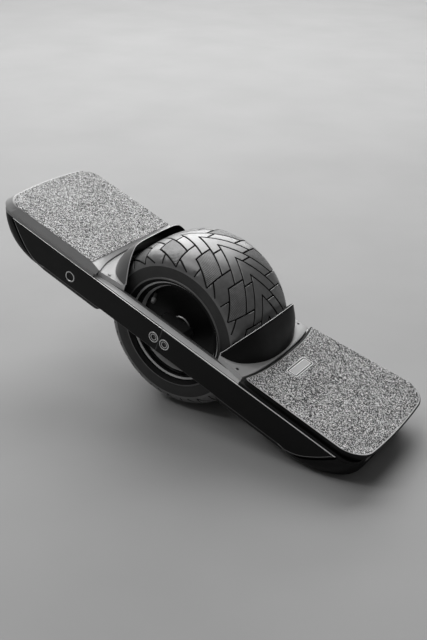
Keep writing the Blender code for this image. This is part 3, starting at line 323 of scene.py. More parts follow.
def tyre_rubber(name, hatched):
    """Rubber of the tread, painted lighter than the sidewall as light on the crown, with patchy
    tone and gloss, and fine hatching on some of the tread blocks.
    """
    low, high = (0.19, 0.3) if hatched else (0.09, 0.15)
    made = Finish(name, 0.5, IOR=1.62, Specular_IOR_Level=0.3 if hatched else 1.0)
    blotches = made.noise(9.0, 5.0)
    fine = made.noise(0.9, 2.0)
    tone = made.ramp(made.weighted(blotches, fine, 0.3), [(0.3, low), (0.7, high)])
    made.rough(blotches, 0.32, 0.46)
    made.bump(fine, 0.06)
    if hatched:
        flat = made.add("ShaderNodeUVMap", uv_map="flat").outputs["UV"]
        turned = made.add("ShaderNodeMapping", {"Vector": flat,
                                                "Rotation": (0, 0, math.radians(100))})
        # The wave texture has 20 / (2 pi) waves to a unit at a scale of 1
        wave = made.add("ShaderNodeTexWave", {"Vector": turned.outputs["Vector"],
                                              "Scale": 2 * math.pi / 20 / HATCH_SPACING},
                        wave_type="BANDS", bands_direction="X", wave_profile="SIN")
        lines = wave.outputs["Fac"]
        tone = made.times(tone, made.ramp(lines, [(0.1, 0.45), (0.7, 1.0)]))
        made.bump(lines, 0.5)
    return made.colour(tone)


RUBBER = tyre_rubber("tyre_rubber", False)
# Near black: painted shade in the tyre's grooves
GROOVE = moulded("tyre_groove_painted_shade", 0.012, 0.7, grain=1.4, depth=0.03, Specular_IOR_Level=0.2)
# Near black: painted shade in the gap between the tyre and the rim
TOE = moulded("tyre_toe_painted_shade", 0.01, 0.6, grain=1.4, depth=0.03, Specular_IOR_Level=0.2)
HATCHED = tyre_rubber("tyre_rubber_hatched", True)
# Darker than the tread's rubber: painted shade on the tyre's side
SIDEWALL = moulded("tyre_sidewall", 0.033, 0.55, grain=1.4, depth=0.08)
BLACK = moulded("black_plastic", 0.005, 0.45, grain=0.9, depth=0.04, Specular_IOR_Level=0.2)
# Grey plastic of the valve's cap, and a painted highlight along the guards' lower and end edges
SHEEN_EDGE = moulded("grey_cap_and_painted_highlight_edge", 0.3, 0.4)
# A dimmer painted highlight along the guards' lower step
DIM_EDGE = moulded("painted_dim_highlight_edge", 0.08, 0.4)
# A painted highlight along the front guards' top edge; on the bolts, their polished rim and
# socket, brightened further as a painted highlight
EDGE_LINE = machined("polished_edge_and_painted_highlight", 0.9, 0.3, metallic=0.6)
# Lighter than the sidewall: a painted highlight along the bead's ridge
BEAD = moulded("tyre_bead_painted_highlight", 0.12, 0.35, grain=1.4, depth=0.03)
PALE = smooth_plastic("pale_plastic", 0.6)
# The pale plastic painted lighter, as light on the front pad's top
TRIM = smooth_plastic("pale_plastic_painted_light", 0.85, spread=0.05)
# The pale plastic painted darker, as shade on the front pad's rounded nose
NOSE = smooth_plastic("pad_nose_painted_shade", 0.5, 0.5, 0.05)
# The pale plastic painted dark grey, as shade on the front fender's outer lip
DEEP = smooth_plastic("pale_plastic_painted_shade", 0.125)
# The pale plastic painted darker, as shade on the front pad's walls and base
PAD_SIDE = smooth_plastic("pad_side_painted_shade", 0.27, 0.45)
# The pale plastic painted white, as a highlight on the front pad's band, the rear guards' top edge
# and the rear fender's rim
BAND = smooth_plastic("white_painted_highlight", 1.0, 0.3, 0.03)
BADGE_RIM = moulded("badge_rim", 0.95, 0.4)
# Black film on the rear lip's outer face and the badge's floor, and painted shade on the front
# lip's inner face
LIP_BLACK = moulded("black_film_and_painted_shade", 0.005, 0.4, grain=2.0, depth=0.01, Specular_IOR_Level=0.2)
RUBBER_PART = moulded("small_rubber", 0.12, 0.45)
GRIP = gritty("grip_mineral", 0.01, 0.57)
FRONT_GRIP = gritty("front_grip_mineral", 0.03, 0.5)
# A painted highlight along the rear grip's border
GRIP_EDGE = moulded("grip_edge_painted_highlight", 0.6, 0.55, spread=0.1, grain=1.2)
RAIL = machined("anodised_rail", 0.72, 0.5, (0.03, 1, 1), metallic=0.2)
# The rail's anodising painted darker, as shade on its rolled inner edge
RAIL_EDGE = machined("rail_edge_painted_shade", 0.14, 0.45, (0.03, 1, 1), metallic=0.2)
HUB = moulded("hub_paint", 0.006, 0.4, grain=0.7, Specular_IOR_Level=0.25)
# A machined edge on the rim's crest, brightened as a painted highlight
RIM_EDGE = moulded("rim_edge_and_painted_highlight", 0.8, 0.3, grain=0.7)
# The hub's black paint painted pale, as light on the barrel's cone
BARREL = moulded("barrel_painted_light", 0.7, 0.35, grain=0.7)
BRIGHT = machined("machined_edge", 0.6, 0.25, (1, 1, 1))
STEEL = machined("steel", 0.55, 0.28, (1, 1, 1))
DARK_STEEL = machined("blackened_steel", 0.1, 0.4, (1, 1, 1))
CAST = moulded("box_casting", 0.05, 0.55, grain=1.6, depth=0.15)
IRON = machined("motor_iron", 0.6, 0.4, (1, 1, 1))
LENS = moulded("lamp_lens", 0.7, 0.12, spread=0.04, grain=3.0, depth=0.02)
CIRCUIT = moulded("circuit", 0.05, 0.5)
WRAP = moulded("battery_wrap", 0.05, 0.35)
BADGE = machined("badge_metal", 0.42, 0.5, (1, 0.05, 1), metallic=0.2)


# Building pieces

def skin(loops, ring=False):
    """Points and faces of a skin over loops of equal length, capped unless it is a ring."""
    count = len(loops[0])
    points = [point for loop in loops for point in loop]
    faces = []
    spans = len(loops) if ring else len(loops) - 1
    for i in range(spans):
        a, b = i * count, (i + 1) % len(loops) * count
        for j in range(count):
            k = (j + 1) % count
            faces.append((a + j, a + k, b + k, b + j))
    if not ring:
        faces.append(tuple(range(count)))
        faces.append(tuple(len(points) - count + j for j in range(count)))
    return points, faces


def new_mesh(name, shape, materials):
    """A mesh from points in the board's frame, and faces."""
    points, faces = shape
    mesh = bpy.data.meshes.new(name)
    mesh.from_pydata([TO_WORLD @ Vector(point) for point in points], [], faces)
    for material in materials:
        mesh.materials.append(material)
    return mesh


def put(name, data):
    item = bpy.data.objects.new(name, data)
    bpy.context.scene.collection.objects.link(item)
    return item


def turn_outwards(mesh):
    """Joins the points that meet, and turns every face of a closed mesh outwards."""
    work = bmesh.new()
    work.from_mesh(mesh)
    bmesh.ops.remove_doubles(work, verts=work.verts, dist=2e-6)
    bmesh.ops.recalc_face_normals(work, faces=work.faces)
    if work.calc_volume(signed=True) < 0:
        bmesh.ops.reverse_faces(work, faces=work.faces)
    work.to_mesh(mesh)
    work.free()


def shade(mesh, sharp):
    """Turns a mesh outwards, and shades it smooth but for the edges over a sharp angle."""
    turn_outwards(mesh)
    mesh.shade_smooth()
    mesh.set_sharp_from_angle(angle=math.radians(sharp))


def piece(name, shape, finishes, slot, nodes=(), which=(), body="frame", sharp=35, flat=None):
    """Adds one mesh, rides it on a body and lets it stand for CAD nodes.

    which gives each face's finish, and the faces past its end take the first one; flat gives
    each face corner's place on the unrolled tread.
    """
    mesh = new_mesh(name, shape, [finish.material for finish in finishes])
    kinds = list(which) + [0] * (len(mesh.polygons) - len(which))
    mesh.polygons.foreach_set("material_index", kinds)
    if flat is not None:
        layer = mesh.uv_layers.new(name="flat")
        layer.data.foreach_set("uv", np.array(flat, np.float32).ravel())
    shade(mesh, sharp)
    item = put(name, mesh)
    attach(item, body)
    if nodes:
        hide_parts(*nodes)
    return item


def stand_in(node, shape, finishes, slot, which=(), **options):
    """A piece that takes the place of the one CAD node it is named after."""
    return piece(f"{node}_detailed", shape, finishes, slot, [node], which, **options)


def soften(item, width, segments):
    """Rounds the sharp edges of a piece."""
    modifier = item.modifiers.new("round", "BEVEL")
    modifier.width = width * MM
    modifier.segments = segments
    modifier.limit_method = "ANGLE"
    modifier.angle_limit = math.radians(30)
    modifier.harden_normals = True


def cut(item, shape):
    """Cuts a closed shape out of a piece, and keeps only the result."""
    mesh = new_mesh("cutter", shape, item.data.materials)
    turn_outwards(mesh)
    tool = put("cutter", mesh)
    modifier = item.modifiers.new("cut", "BOOLEAN")
    modifier.operation = "DIFFERENCE"
    modifier.solver = "EXACT"
    modifier.object = tool
    bpy.context.view_layer.update()
    result = bpy.data.meshes.new_from_object(
        item.evaluated_get(bpy.context.evaluated_depsgraph_get()))
    shade(result, 35)
    item.modifiers.remove(modifier)
    item.data = result
    result.name = item.name
    bpy.data.objects.remove(tool)


def circle(radius, sides, centre=(0, 0), start=TOP):
    """Points round a circle, as pairs; it starts at the tyre's top by default."""
    angles = [start - 2 * math.pi * k / sides for k in range(sides)]
    return [(centre[0] + radius * math.cos(a), centre[1] + radius * math.sin(a))
            for a in angles]


def revolve(profile, sides, centre=(0, 0)):
    """Turns a closed (radius, y) profile round a line along Y."""
    rings = [circle(r, sides, centre) for r, y in profile]
    loops = []
    for k in range(sides):
        loops.append([(ring[k][0], y, ring[k][1]) for ring, (r, y) in zip(rings, profile)])
    return skin(loops, True)


def spindle(stations, origin, direction, sides):
    """A turned solid from (radius, distance) stations along a direction."""
    direction = Vector(direction).normalized()
    across = direction.orthogonal().normalized()
    other = direction.cross(across)
    loops = []
    for radius, distance in stations:
        centre = Vector(origin) + direction * distance
        loops.append([tuple(centre + across * u + other * v)
                      for u, v in circle(radius, sides, start=0)])
    return skin(loops)


def prism(outline, low, high, axis="Y"):
    """Extrudes an outline along an axis; the outline gives the other two in order."""
    order = {"X": (2, 0, 1), "Y": (0, 2, 1), "Z": (0, 1, 2)}[axis]
    loops = [[tuple((u, v, level)[k] for k in order) for u, v in outline]
             for level in (low, high)]
    return skin(loops)


def box_shape(x, y, z):
    return prism([(x[0], y[0]), (x[1], y[0]), (x[1], y[1]), (x[0], y[1])], *z, axis="Z")


def bore(item, radius, sides, centre, through, axis="Y"):
    """Cuts a round hole through a piece, between two levels along an axis."""
    cut(item, prism(circle(radius, sides, centre), *through, axis))


def grid_solid(top, bottom):
    """Closes two grids of points of the same size, top and bottom, with side walls."""
    rows, columns = len(top), len(top[0])
    points = [point for row in top + bottom for point in row]
    base = rows * columns
    faces = []
    for i in range(rows - 1):
        for j in range(columns - 1):
            a = i * columns + j
            quad = (a, a + 1, a + columns + 1, a + columns)
            faces.append(quad)
            faces.append(tuple(base + k for k in reversed(quad)))
    edge = list(range(columns))
    edge += [i * columns + columns - 1 for i in range(1, rows)]
    edge += [(rows - 1) * columns + j for j in range(columns - 2, -1, -1)]
    edge += [i * columns for i in range(rows - 2, 0, -1)]
    for a, b in zip(edge, edge[1:] + edge[:1]):
        faces.append((a, b, base + b, base + a))
    return points, faces


# The tyre

def crown_table():
    """Arc length from the centre line, y and radius, for the outside of the tyre."""
    turns = np.linspace(0, math.pi / 2, 601)
    y = HALF_TYRE * np.sin(turns) ** SHOULDER_POWER
    fall = 1 - np.abs(np.cos(turns)) ** SHOULDER_POWER
    radius = TYRE_RADIUS - SHOULDER_DROP * fall
    arc = np.concatenate([[0], np.cumsum(np.hypot(np.diff(y), np.diff(radius)))])
    return arc, y, radius


CROWN_ARC, CROWN_Y, CROWN_RADIUS = crown_table()
TREAD_EDGE = 0.958 * CROWN_ARC[-1]
SHOULDER_LINE = 0.906 * CROWN_ARC[-1]
SHOULDER_RING = 0.937 * CROWN_ARC[-1]

# Centre lines of one side's grooves: shares of a pitch along, shares of the way out
TREAD_LINES = [
    [(-0.02, -0.007), (1.17, 0.598)],
    [(0.48, -0.007), (1.49, 0.507)],
    [(0.49, 0.25), (0.49, 0.693)],
    [(0.49, 0.682), (1.17, 1.0)],
    [(1.17, 0.347), (1.17, 1.0)],
    [(0.64, 0.073), (0.64, 0.324)],
    [(1.17, 0.835), (1.5, 1.0)],
    [(0.74, 0.8), (0.74, 1.0)],
]
HATCHED_BLOCK = [(0.49, 0.25), (1.17, 0.598), (1.17, 1.0), (0.49, 0.682)]
# Each side's sign, and how far on round the tyre its grooves lie, in pitches
TREAD_SIDES = ((-1, 0.0), (1, 0.5))


def tread_point(along, across, depth):
    """A point of the tread: along and across in millimetres on the unrolled crown."""
    angle = TOP - along / TYRE_RADIUS
    side = math.copysign(1, across)
    y = side * float(np.interp(abs(across), CROWN_ARC, CROWN_Y))
    radius = float(np.interp(abs(across), CROWN_ARC, CROWN_RADIUS)) - depth
    return radius * math.cos(angle), y, radius * math.sin(angle)


def groove_depth(across):
    """Grooves run out towards the shoulder."""
    if abs(across) > SHOULDER_LINE + CHAMFER + 1.0:
        return RING_DEPTH
    share = abs(across) / SHOULDER_LINE
    return interpolate([(0.65, GROOVE_DEPTH), (0.95, SHOULDER_GROOVE_DEPTH)], share)


def strip(start, end, width, spacing, spare=0.0):
    """Outline of a straight groove, its long sides in short pieces."""
    start, end = Vector(start), Vector(end)
    ahead = (end - start).normalized()
    start, end = start - ahead * spare, end + ahead * spare
    side = ahead.orthogonal() * width / 2
    pieces = max(1, round((end - start).length / spacing))
    stops = [start.lerp(end, k / pieces) for k in range(pieces + 1)]
    return [stop - side for stop in stops] + [stop + side for stop in reversed(stops)]


def groove_lines():
    """Ends of every groove that touches one pitch; one side is half a pitch on."""
    found = []
    for sign, shift in TREAD_SIDES:
        for line in TREAD_LINES:
            ends = [((u + shift) * PITCH, sign * v * SHOULDER_LINE) for u, v in line]
            for copy in range(-2, 2):
                found.append([(x + copy * PITCH, y) for x, y in ends])
    return found


def far_from_lines(spot, lines, least):
    """Whether a spot keeps its distance from the grooves, and half of it from the ring."""
    for start, end in lines:
        a, b = Vector(start), Vector(end)
        share = max(0.0, min(1.0, (spot - a).dot(b - a) / (b - a).length_squared))
        if (spot - a.lerp(b, share)).length < least:
            return False
    return abs(abs(spot.y) - SHOULDER_RING) > 0.5 * least


def wrapped(value, length):
    """What is left of a value over whole lengths, to a hundredth of a millimetre."""
    return round(value % length, 2) % round(length, 2)


def tread_cells():
    """Triangles of one pitch as (three flat points, kind): block, hatched, groove or ring."""
    spacing = PITCH / TREAD_COLUMNS
    levels = [k * TREAD_EDGE / TREAD_ROWS for k in range(-TREAD_ROWS, TREAD_ROWS + 1)]
    points = [Vector((k * spacing, -TREAD_EDGE)) for k in range(TREAD_COLUMNS)]
    points += [Vector((PITCH, y)) for y in levels]
    points += [Vector((k * spacing, TREAD_EDGE)) for k in range(TREAD_COLUMNS - 1, 0, -1)]
    points += [Vector((0, y)) for y in reversed(levels[1:])]
    faces = [list(range(len(points)))]
    kinds = ["sheet"]

    def outline(corners, kind):
        faces.append(list(range(len(points), len(points) + len(corners))))
        points.extend(corners)
        kinds.append(kind)

    lines = groove_lines()
    for start, end in lines:
        outline(strip(start, end, GROOVE_WIDTH + 2 * CHAMFER, spacing, CHAMFER), "edge")
        outline(strip(start, end, GROOVE_WIDTH, spacing), "groove")
    for sign, shift in TREAD_SIDES:
        y = sign * SHOULDER_RING
        for width, kind in ((RING_WIDTH + 2 * CHAMFER, "edge"), (RING_WIDTH, "ring")):
            outline(strip((-spacing, y), (PITCH + spacing, y), width, spacing), kind)
        for copy in range(-2, 2):
            corners = [Vector(((u + shift + copy) * PITCH, sign * v * SHOULDER_LINE))
                       for u, v in HATCHED_BLOCK[::sign]]
            outline(corners, "hatched")
    for i in range(1, TREAD_COLUMNS):
        for y in levels[1:-1]:
            spot = Vector((i * spacing, y))
            if far_from_lines(spot, lines, POINT_ROOM):
                points.append(spot)
    found = delaunay_2d_cdt(points, [], faces, 0, 1e-4, True)
    spots = [tuple(spot) for spot in found[0]]
    cells = []
    for triangle, owners in zip(found[2], found[5]):
        if 0 not in owners:
            continue
        names = {kinds[owner] for owner in owners}
        kind = "block"
        if "groove" in names or "ring" in names:
            kind = "groove" if "groove" in names else "ring"
        elif "hatched" in names and "edge" not in names:
            kind = "hatched"
        cells.append(([spots[k] for k in triangle], kind))
    return cells


def carcass_rows():
    """(y, radius) from the tread's edge down the sidewall, round the bead and back inside."""
    edge = [(float(np.interp(arc, CROWN_ARC, CROWN_Y)),
             float(np.interp(arc, CROWN_ARC, CROWN_RADIUS)))
            for arc in np.linspace(TREAD_EDGE, CROWN_ARC[-1], 5)[1:-1]]
    wall = [(0.0, EDGE_RADIUS), (0.1, 111.0), (-0.2, 107.0), (-0.7, 103.0), (-1.0, 100.1),
            (-0.8, 98.9), (0.1, 98.1), (0.4, 97.1), (0.2, 96.0), (-1.2, 94.7), (-3.2, 93.0)]
    half = edge + [(HALF_TYRE + out, radius) for out, radius in wall]
    half += [(RIM_FACE + 0.8, 91.2), (RIM_FACE + 0.2, 90.2), (72.4, 90.1), (72.4, 82.6),
             (60.4, 82.6), (74.0, 114.7), (59.9, 130.4)]
    return half + [(0.0, 134.0)] + [(-y, r) for y, r in reversed(half)]


# The bands of the carcass, counted from the tread's edge, that form the ridge over the bead; they
# are painted lighter as a highlight, and the bands past them near black as shade between the tyre
# and the rim
BEAD_BANDS = (9, 10, 11)
TYRE_KINDS = ("block", "hatched", "groove", "side", "bead", "toe")
LOWERED = ("groove", "ring")


def make_tyre():
    """Cuts the grooves into one pitch of the unrolled crown, then rolls all pitches up."""
    around = PITCH * TREAD_PITCHES
    points, index, faces, which, flat = [], {}, [], [], []
    cells = tread_cells()
    lowered = {(wrapped(x, PITCH), round(y, 2))
               for spots, kind in cells if kind in LOWERED for x, y in spots}

    def corner(spot, low):
        x, y = wrapped(spot[0], around), round(spot[1], 2)
        if (x, y, low) not in index:
            index[x, y, low] = len(points)
            at_edge = (wrapped(spot[0], PITCH), y) in lowered
            drop = groove_depth(y) if low else CHAMFER_DROP if at_edge else 0.0
            points.append(tread_point(*spot, drop))
        return index[x, y, low]

    def face(corners, kind, places):
        faces.append(corners)
        which.append(TYRE_KINDS.index(kind))
        flat.extend(places)

    def tread_face(spots, lows, kind):
        face([corner(spot, low) for spot, low in zip(spots, lows)], kind,
             [(x, abs(y)) for x, y in spots])

    edges = {}
    for pitch in range(TREAD_PITCHES):
        for triangle, kind in cells:
            spots = [(x + pitch * PITCH, y) for x, y in triangle]
            tread_face(spots, [kind in LOWERED] * 3, "block" if kind == "ring" else kind)
            for a, b in zip(spots, spots[1:] + spots[:1]):
                pair = tuple(sorted((corner(a, False), corner(b, False))))
                edges.setdefault(pair, []).append((kind, a, b))
    for users in edges.values():
        if len(users) == 2 and (users[0][0] in LOWERED) != (users[1][0] in LOWERED):
            a, b = users[0][1:]
            wall = "groove" if "groove" in (users[0][0], users[1][0]) else "block"
            tread_face([a, b, b, a], [False, False, True, True], wall)

    count = TREAD_PITCHES * TREAD_COLUMNS
    step = around / count
    loops = [[corner((k * step, TREAD_EDGE), False) for k in range(count)]]
    for y, radius in carcass_rows():
        loops.append(range(len(points), len(points) + count))
        points.extend((x, y, z) for x, z in circle(radius, count))
    loops.append([corner((k * step, -TREAD_EDGE), False) for k in range(count)])
    for band, (low, high) in enumerate(zip(loops, loops[1:])):
        place = min(band, len(loops) - 2 - band)
        kind = "bead" if place in BEAD_BANDS else "toe" if place > BEAD_BANDS[-1] else "side"
        for k in range(count):
            j = (k + 1) % count
            face([low[k], low[j], high[j], high[k]], kind, [(0.0, 0.0)] * 4)
    used = sorted({k for corners in faces for k in corners})
    renumber = {old: new for new, old in enumerate(used)}
    faces = [[renumber[k] for k in corners] for corners in faces]
    shape = [points[k] for k in used], faces
    finishes = [RUBBER, HATCHED, GROOVE, SIDEWALL, BEAD, TOE]
    stand_in("tyre", shape, finishes, "tyre", which, body="wheel", sharp=25, flat=flat)


# The hub

def make_rim():
    """The cast rim, whose side is given as (radius, y, kind of face)."""
    sides = 144
    seat = RIM_FACE - 5.5
    # Kind 1 is the crest, a machined edge brightened as a painted highlight, and kind 2 the
    # barrel's cone, painted pale as the light on it
    side = [
        (BARREL_BORE, COVER_FACE + 1.5, 0), (75.6, 57.6, 2), (79.4, 65.0, 0),
        (81.4, 67.6, 0), (83.8, 70.2, 0), (85.6, 71.9, 1), (87.4, 73.6, 1), (88.8, 74.6, 1),
        (RIM_LIP_RADIUS, 73.8, 0), (RIM_LIP_RADIUS, seat, 0), (RIM_RADIUS, seat, 0),
        (RIM_RADIUS, COVER_FACE + 4.0, 0), (RIM_RADIUS - 3.2, COVER_FACE - 4.0, 0),
    ]
    profile = [(r, y) for r, y, kind in side] + [(r, -y) for r, y, kind in reversed(side)]
    kinds = [kind for r, y, kind in side]
    kinds = kinds + kinds[-2::-1] + [0]
    stand_in("hub_rim", revolve(profile, sides), [HUB, RIM_EDGE, BARREL], "hub_paint",
             kinds * sides, body="wheel", sharp=30)


def make_hub_covers():
    """The motor's end covers: a dished plate with a boss and the bearing's seat."""
    sides = 96
    seat, eye, rib, inside = 24.5, 15.5, 33.0, 43.6
    profile = [(seat, inside), (seat, 52.5), (eye, 52.5)]
    profile += beside(BOSS_FACE, (eye, -2.0), (eye + 0.8, -1.2), (18.0, -1.2), (19.2, -1.6),
                      (20.1, -2.6))
    profile += beside(COVER_FACE, (20.6, 0.8), (22.0, 0.0), (30.0, -0.2), (36.0, -1.4),
                      (58.0, -1.8), (66.0, -0.6), (70.0, 0.0), (74.4, 0.0), (75.1, -0.6))
    profile += [(75.1, 48.5), (rib, 48.5), (rib, inside)]
    for side, sign in LEFT_RIGHT:
        shape = revolve([(r, sign * y) for r, y in profile], sides)
        stand_in(f"{side}_hub_cover", shape, [HUB, IRON], "hub_paint",
                 marked(len(profile), (5, 6)) * sides, body="wheel", sharp=30)


def make_valve():
    """A snap-in valve: a flared rubber stem and a cap with ribs."""
    sides, rib_depth = 32, 0.07
    angle = math.radians(VALVE_ANGLE)
    outward = Vector((math.cos(angle), 0, math.sin(angle)))
    # It leans some 30 degrees towards the axle
    lean = (outward * -0.5 + Vector((0, -0.87, 0))).normalized()
    foot = outward * (BARREL_BORE - 4.5) + Vector((0, -COVER_FACE - SEAT_GAP - 1.5, 0))
    stem = [(2.4, 0.0), (3.0, 0.4), (3.0, 8.0), (2.7, 9.5), (2.2, 10.0), (2.2, 12.0)]
    stand_in("valve_stem", spindle(stem, foot, lean, 24), [RUBBER_PART], "rubber", body="wheel")
    cap = [(3.7, 12.4), (4.1, 12.7), (4.1, 14.0), (3.8, 14.3), (3.8, 19.2), (3.3, 20.6),
           (2.4, 21.3), (0.6, 21.5)]
    points, faces = spindle(cap, foot, lean, sides)
    ribbed = []
    for k, point in enumerate(points):
        station, corner = divmod(k, sides)
        centre = foot + lean * cap[station][1]
        share = 1 - rib_depth if corner % 2 and station in (3, 4) else 1.0
        ribbed.append(tuple(centre + (Vector(point) - centre) * share))
    stand_in("valve_cap", (ribbed, faces), [SHEEN_EDGE], "rubber", body="wheel")


def make_bolts():
    """Axle bolts: a raised bright rim, a sunk dark face and a bright hex socket."""
    sides, sixth = 24, math.pi / 3
    angles = [2 * math.pi * k / sides for k in range(sides)]
    stations = [(4.0, 98.0), (4.0, GUARD_INSIDE), (BOLT_HEAD, GUARD_INSIDE)]
    stations += beside(GUARD_FACE - SEAT_GAP, (BOLT_HEAD, -0.7), (BOLT_HEAD - 0.6, 0.0),
                       (BOLT_HEAD - 1.8, 0.0), (BOLT_HEAD - 2.4, -1.0), (6.3, -1.2), (5.7, -0.6),
                       (4.9, -0.6), (4.3, -0.9), (4.1, -2.6))
    rings = [[radius] * sides for radius, y in stations[:-2]]
    for radius, y in stations[-2:]:
        turns = [(angle + sixth / 2) % sixth - sixth / 2 for angle in angles]
        rings.append([radius * math.cos(sixth / 2) / math.cos(turn) for turn in turns])
    # The rim and the socket are polished, and painted brighter still as a highlight
    which = each(marked(len(rings) - 1, (3, 4, 8)), sides)
    for side, y_sign, end, x_sign in CORNERS:
        loops = [[(x_sign * BOLT_SPACING / 2 + reach * math.cos(angle), y_sign * y,
                   reach * math.sin(angle)) for reach, angle in zip(ring, angles)]
                 for ring, (radius, y) in zip(rings, stations)]
        stand_in(f"{side}_{end}_axle_bolt", skin(loops), [DARK_STEEL, EDGE_LINE], "steel", which)


# Rails, guards and the button

def end_x(z, setback=0.0):
    """How far the sloping end of a rail guard reaches, at a height."""
    return RAIL_END - interpolate(END_SLOPE, RAIL_TOP - z) - setback


def end_slope(rows):
    """A smooth curve through rows of END_SLOPE, as (x, z) pairs."""
    return smooth_through([(RAIL_END - setback, RAIL_TOP - depth) for depth, setback in rows], 3)


def make_rails():
    """C-channels with a rolled inner edge beside the flat top."""
    lengths = 8
    flat_end, roll_x, roll_z = 101.6, 7.8, 4.4
    under, floor = RAIL_TOP - RAIL_WALL - 1.5, RAIL_BOTTOM + RAIL_WALL
    top = beside(RAIL_TOP, (RAIL_FACE, -1.0), (RAIL_FACE - 0.3, -0.3), (RAIL_FACE - 1.0, 0.0),
                 (flat_end, 0.0), (flat_end - 0.3, -0.5), (flat_end - 1.0, -0.5),
                 (flat_end - 1.4, -0.1))
    turns = [math.radians(10 * k) for k in range(9)]
    roll = [(flat_end - 1.8 - roll_x * math.sin(turn),
             RAIL_TOP - 0.1 - roll_z * (1 - math.cos(turn))) for turn in turns]
    section = top + roll + [
        (RAIL_INSIDE, under), (WEB_INSIDE - 1.5, under), (WEB_INSIDE, under - 1.5),
        (WEB_INSIDE, floor + 1.5), (WEB_INSIDE - 1.5, floor), (RAIL_INSIDE, floor),
        (RAIL_INSIDE, RAIL_BOTTOM), (RAIL_FACE - 1.0, RAIL_BOTTOM), (RAIL_FACE, RAIL_BOTTOM + 1.0),
    ]
    # The crease and the rolled inner edge are painted darker as shade
    which = marked(len(section), range(len(top) - 3, len(top) + len(roll))) * lengths
    for side, sign in LEFT_RIGHT:
        loops = []
        for share in np.linspace(-1, 1, lengths + 1):
            loops.append([(share * end_x(z, RAIL_SETBACK), sign * y, z) for y, z in section])
        rail = stand_in(f"{side}_rail", skin(loops), [RAIL, RAIL_EDGE], "rail_metal", which,
                        sharp=30)
        through = span(sign, WEB_INSIDE - 3, RAIL_FACE + 3)
        for x_sign in (-1, 1):
            bore(rail, 4.4, 24, (x_sign * BOLT_SPACING / 2, 0), through)
        if side == "left":
            bore(rail, 8.1, 32, BUTTON, through)


def guard_outline(spread, seam):
    """Outline of a rear guard, grown at its lower and end edges by spread."""
    top = RAIL_TOP + 0.25 * (spread - GUARD_SPREAD)
    outline = [(seam, top), (end_x(RAIL_TOP) + 0.9 * spread, top)]
    for x, z in end_slope(END_SLOPE[1:-1]):
        steep = 1 - interpolate([(38.0, 0.0), (49.0, 1.0)], RAIL_TOP - z)
        outline.append((x + spread * (0.5 + 0.4 * steep), z - spread * (0.9 - 0.45 * steep)))
    low = GUARD_LOW - spread + 0.8 * (GUARD_SPREAD - spread)
    middle = GUARD_MID - 0.6 * spread
    outline.append((BUMPER_INSIDE - 4.0, low))
    for ahead, share in ((12.0, 0.0), (6.0, 0.12), (2.5, 0.42), (0.0, 0.8), (-4.0, 1.0)):
        outline.append((GUARD_STEP + ahead, low + share * (middle - low)))
    outline.append((seam, middle))
    return outline


def make_guards():
    """Bevelled plastic covers over the rails, two to a side."""
    rings = [(GUARD_INSIDE, GUARD_SPREAD)]
    rings += [(GUARD_FACE - depth, spread) for depth, spread in (
        (2.5, GUARD_SPREAD), (2.1, 3.15), (1.6, 2.45), (0.75, 1.3), (0.25, 0.5), (0.0, -0.4),
        (0.0, -1.3))]
    outlines = [guard_outline(spread, GUARD_SEAM) for y, spread in rings[:-1]]
    outlines.append(guard_outline(rings[-1][1], 3 * GUARD_SEAM))
    count = len(outlines[0])
    for side, y_sign, end, x_sign in CORNERS:
        loops = [[(x_sign * x, y_sign * y, z) for x, z in outline]
                 for (y, spread), outline in zip(rings, outlines)]
        # The bevel takes a painted highlight along the rail's top, and its innermost strip a
        # painted highlight line that is dimmer over the last spans, along the lower edge
        line, lit = (EDGE_LINE, (3, 4)) if end == "front" else (BAND, (2, 3, 4, 5))
        which = []
        for ring in range(len(rings) - 1):
            which += [2 if ring in lit else 0] + [0] * (count - 1)
        which[1 - count:] = [1] * (count - 8) + [3] * 7
        finishes = [BLACK, SHEEN_EDGE, line, DIM_EDGE]
        guard = stand_in(f"{side}_{end}_rail_guard", skin(loops), finishes, "black_plastic",
                         which, sharp=28)
        through = span(y_sign, GUARD_INSIDE - 2, GUARD_FACE + 2)
        bore(guard, BOLT_HEAD + 0.6, 48, (x_sign * BOLT_SPACING / 2, 0), through)
        if (side, end) == ("left", "front"):
            bore(guard, BEZEL_RADIUS + SEAT_GAP, 48, BUTTON, through)


def make_button():
    """A push button in a bright bezel."""
    inside, seat = 108.0, 114.3
    bezel = [(7.7, inside)]
    bezel += beside(GUARD_FACE - SEAT_GAP, (7.7, -0.5), (8.1, 0.0), (9.4, 0.0), (10.1, -0.3),
                    (BEZEL_RADIUS, -0.9))
    bezel += [(BEZEL_RADIUS, seat), (7.9, seat), (7.9, inside)]
    shape = revolve([(r, -y) for r, y in bezel], 64, BUTTON)
    stand_in("button_bezel", shape, [BRIGHT], "steel", sharp=30)
    cap = [(0.6, 116.3), (4.0, 116.4), (6.2, 116.6), (6.9, 116.2), (7.2, 115.6), (7.2, 109.0),
           (2.9, 109.0), (2.9, 105.5)]
    centre = (BUTTON[0], 0, BUTTON[1])
    stand_in("power_button", spindle(cap, centre, (0, -1, 0), 48), [BLACK], "black_plastic",
             body="button")


# Bumpers

def rounded_end(half, end, corner, bulge, inner):
    """Plan outline of one end of the board, as (x, y) pairs, bulged and with round corners."""
    steps = 14
    reach = min(corner, end - inner - 2.0)
    quarter = []
    for k in range(steps + 1):
        turn = math.pi / 2 * k / steps
        y = half - corner + corner * math.cos(turn)
        lift = bulge * (1 - (y / half) ** 2)
        quarter.append((end - reach + reach * math.sin(turn) + lift, y))
    middle = [(end + bulge * (1 - (share * y / half) ** 2), share * y)
              for share in np.linspace(1, -1, 12)[1:-1]]
    mirrored = [(x, -y) for x, y in reversed(quarter)]
    return [(inner, half)] + quarter + middle + mirrored + [(inner, -half)]


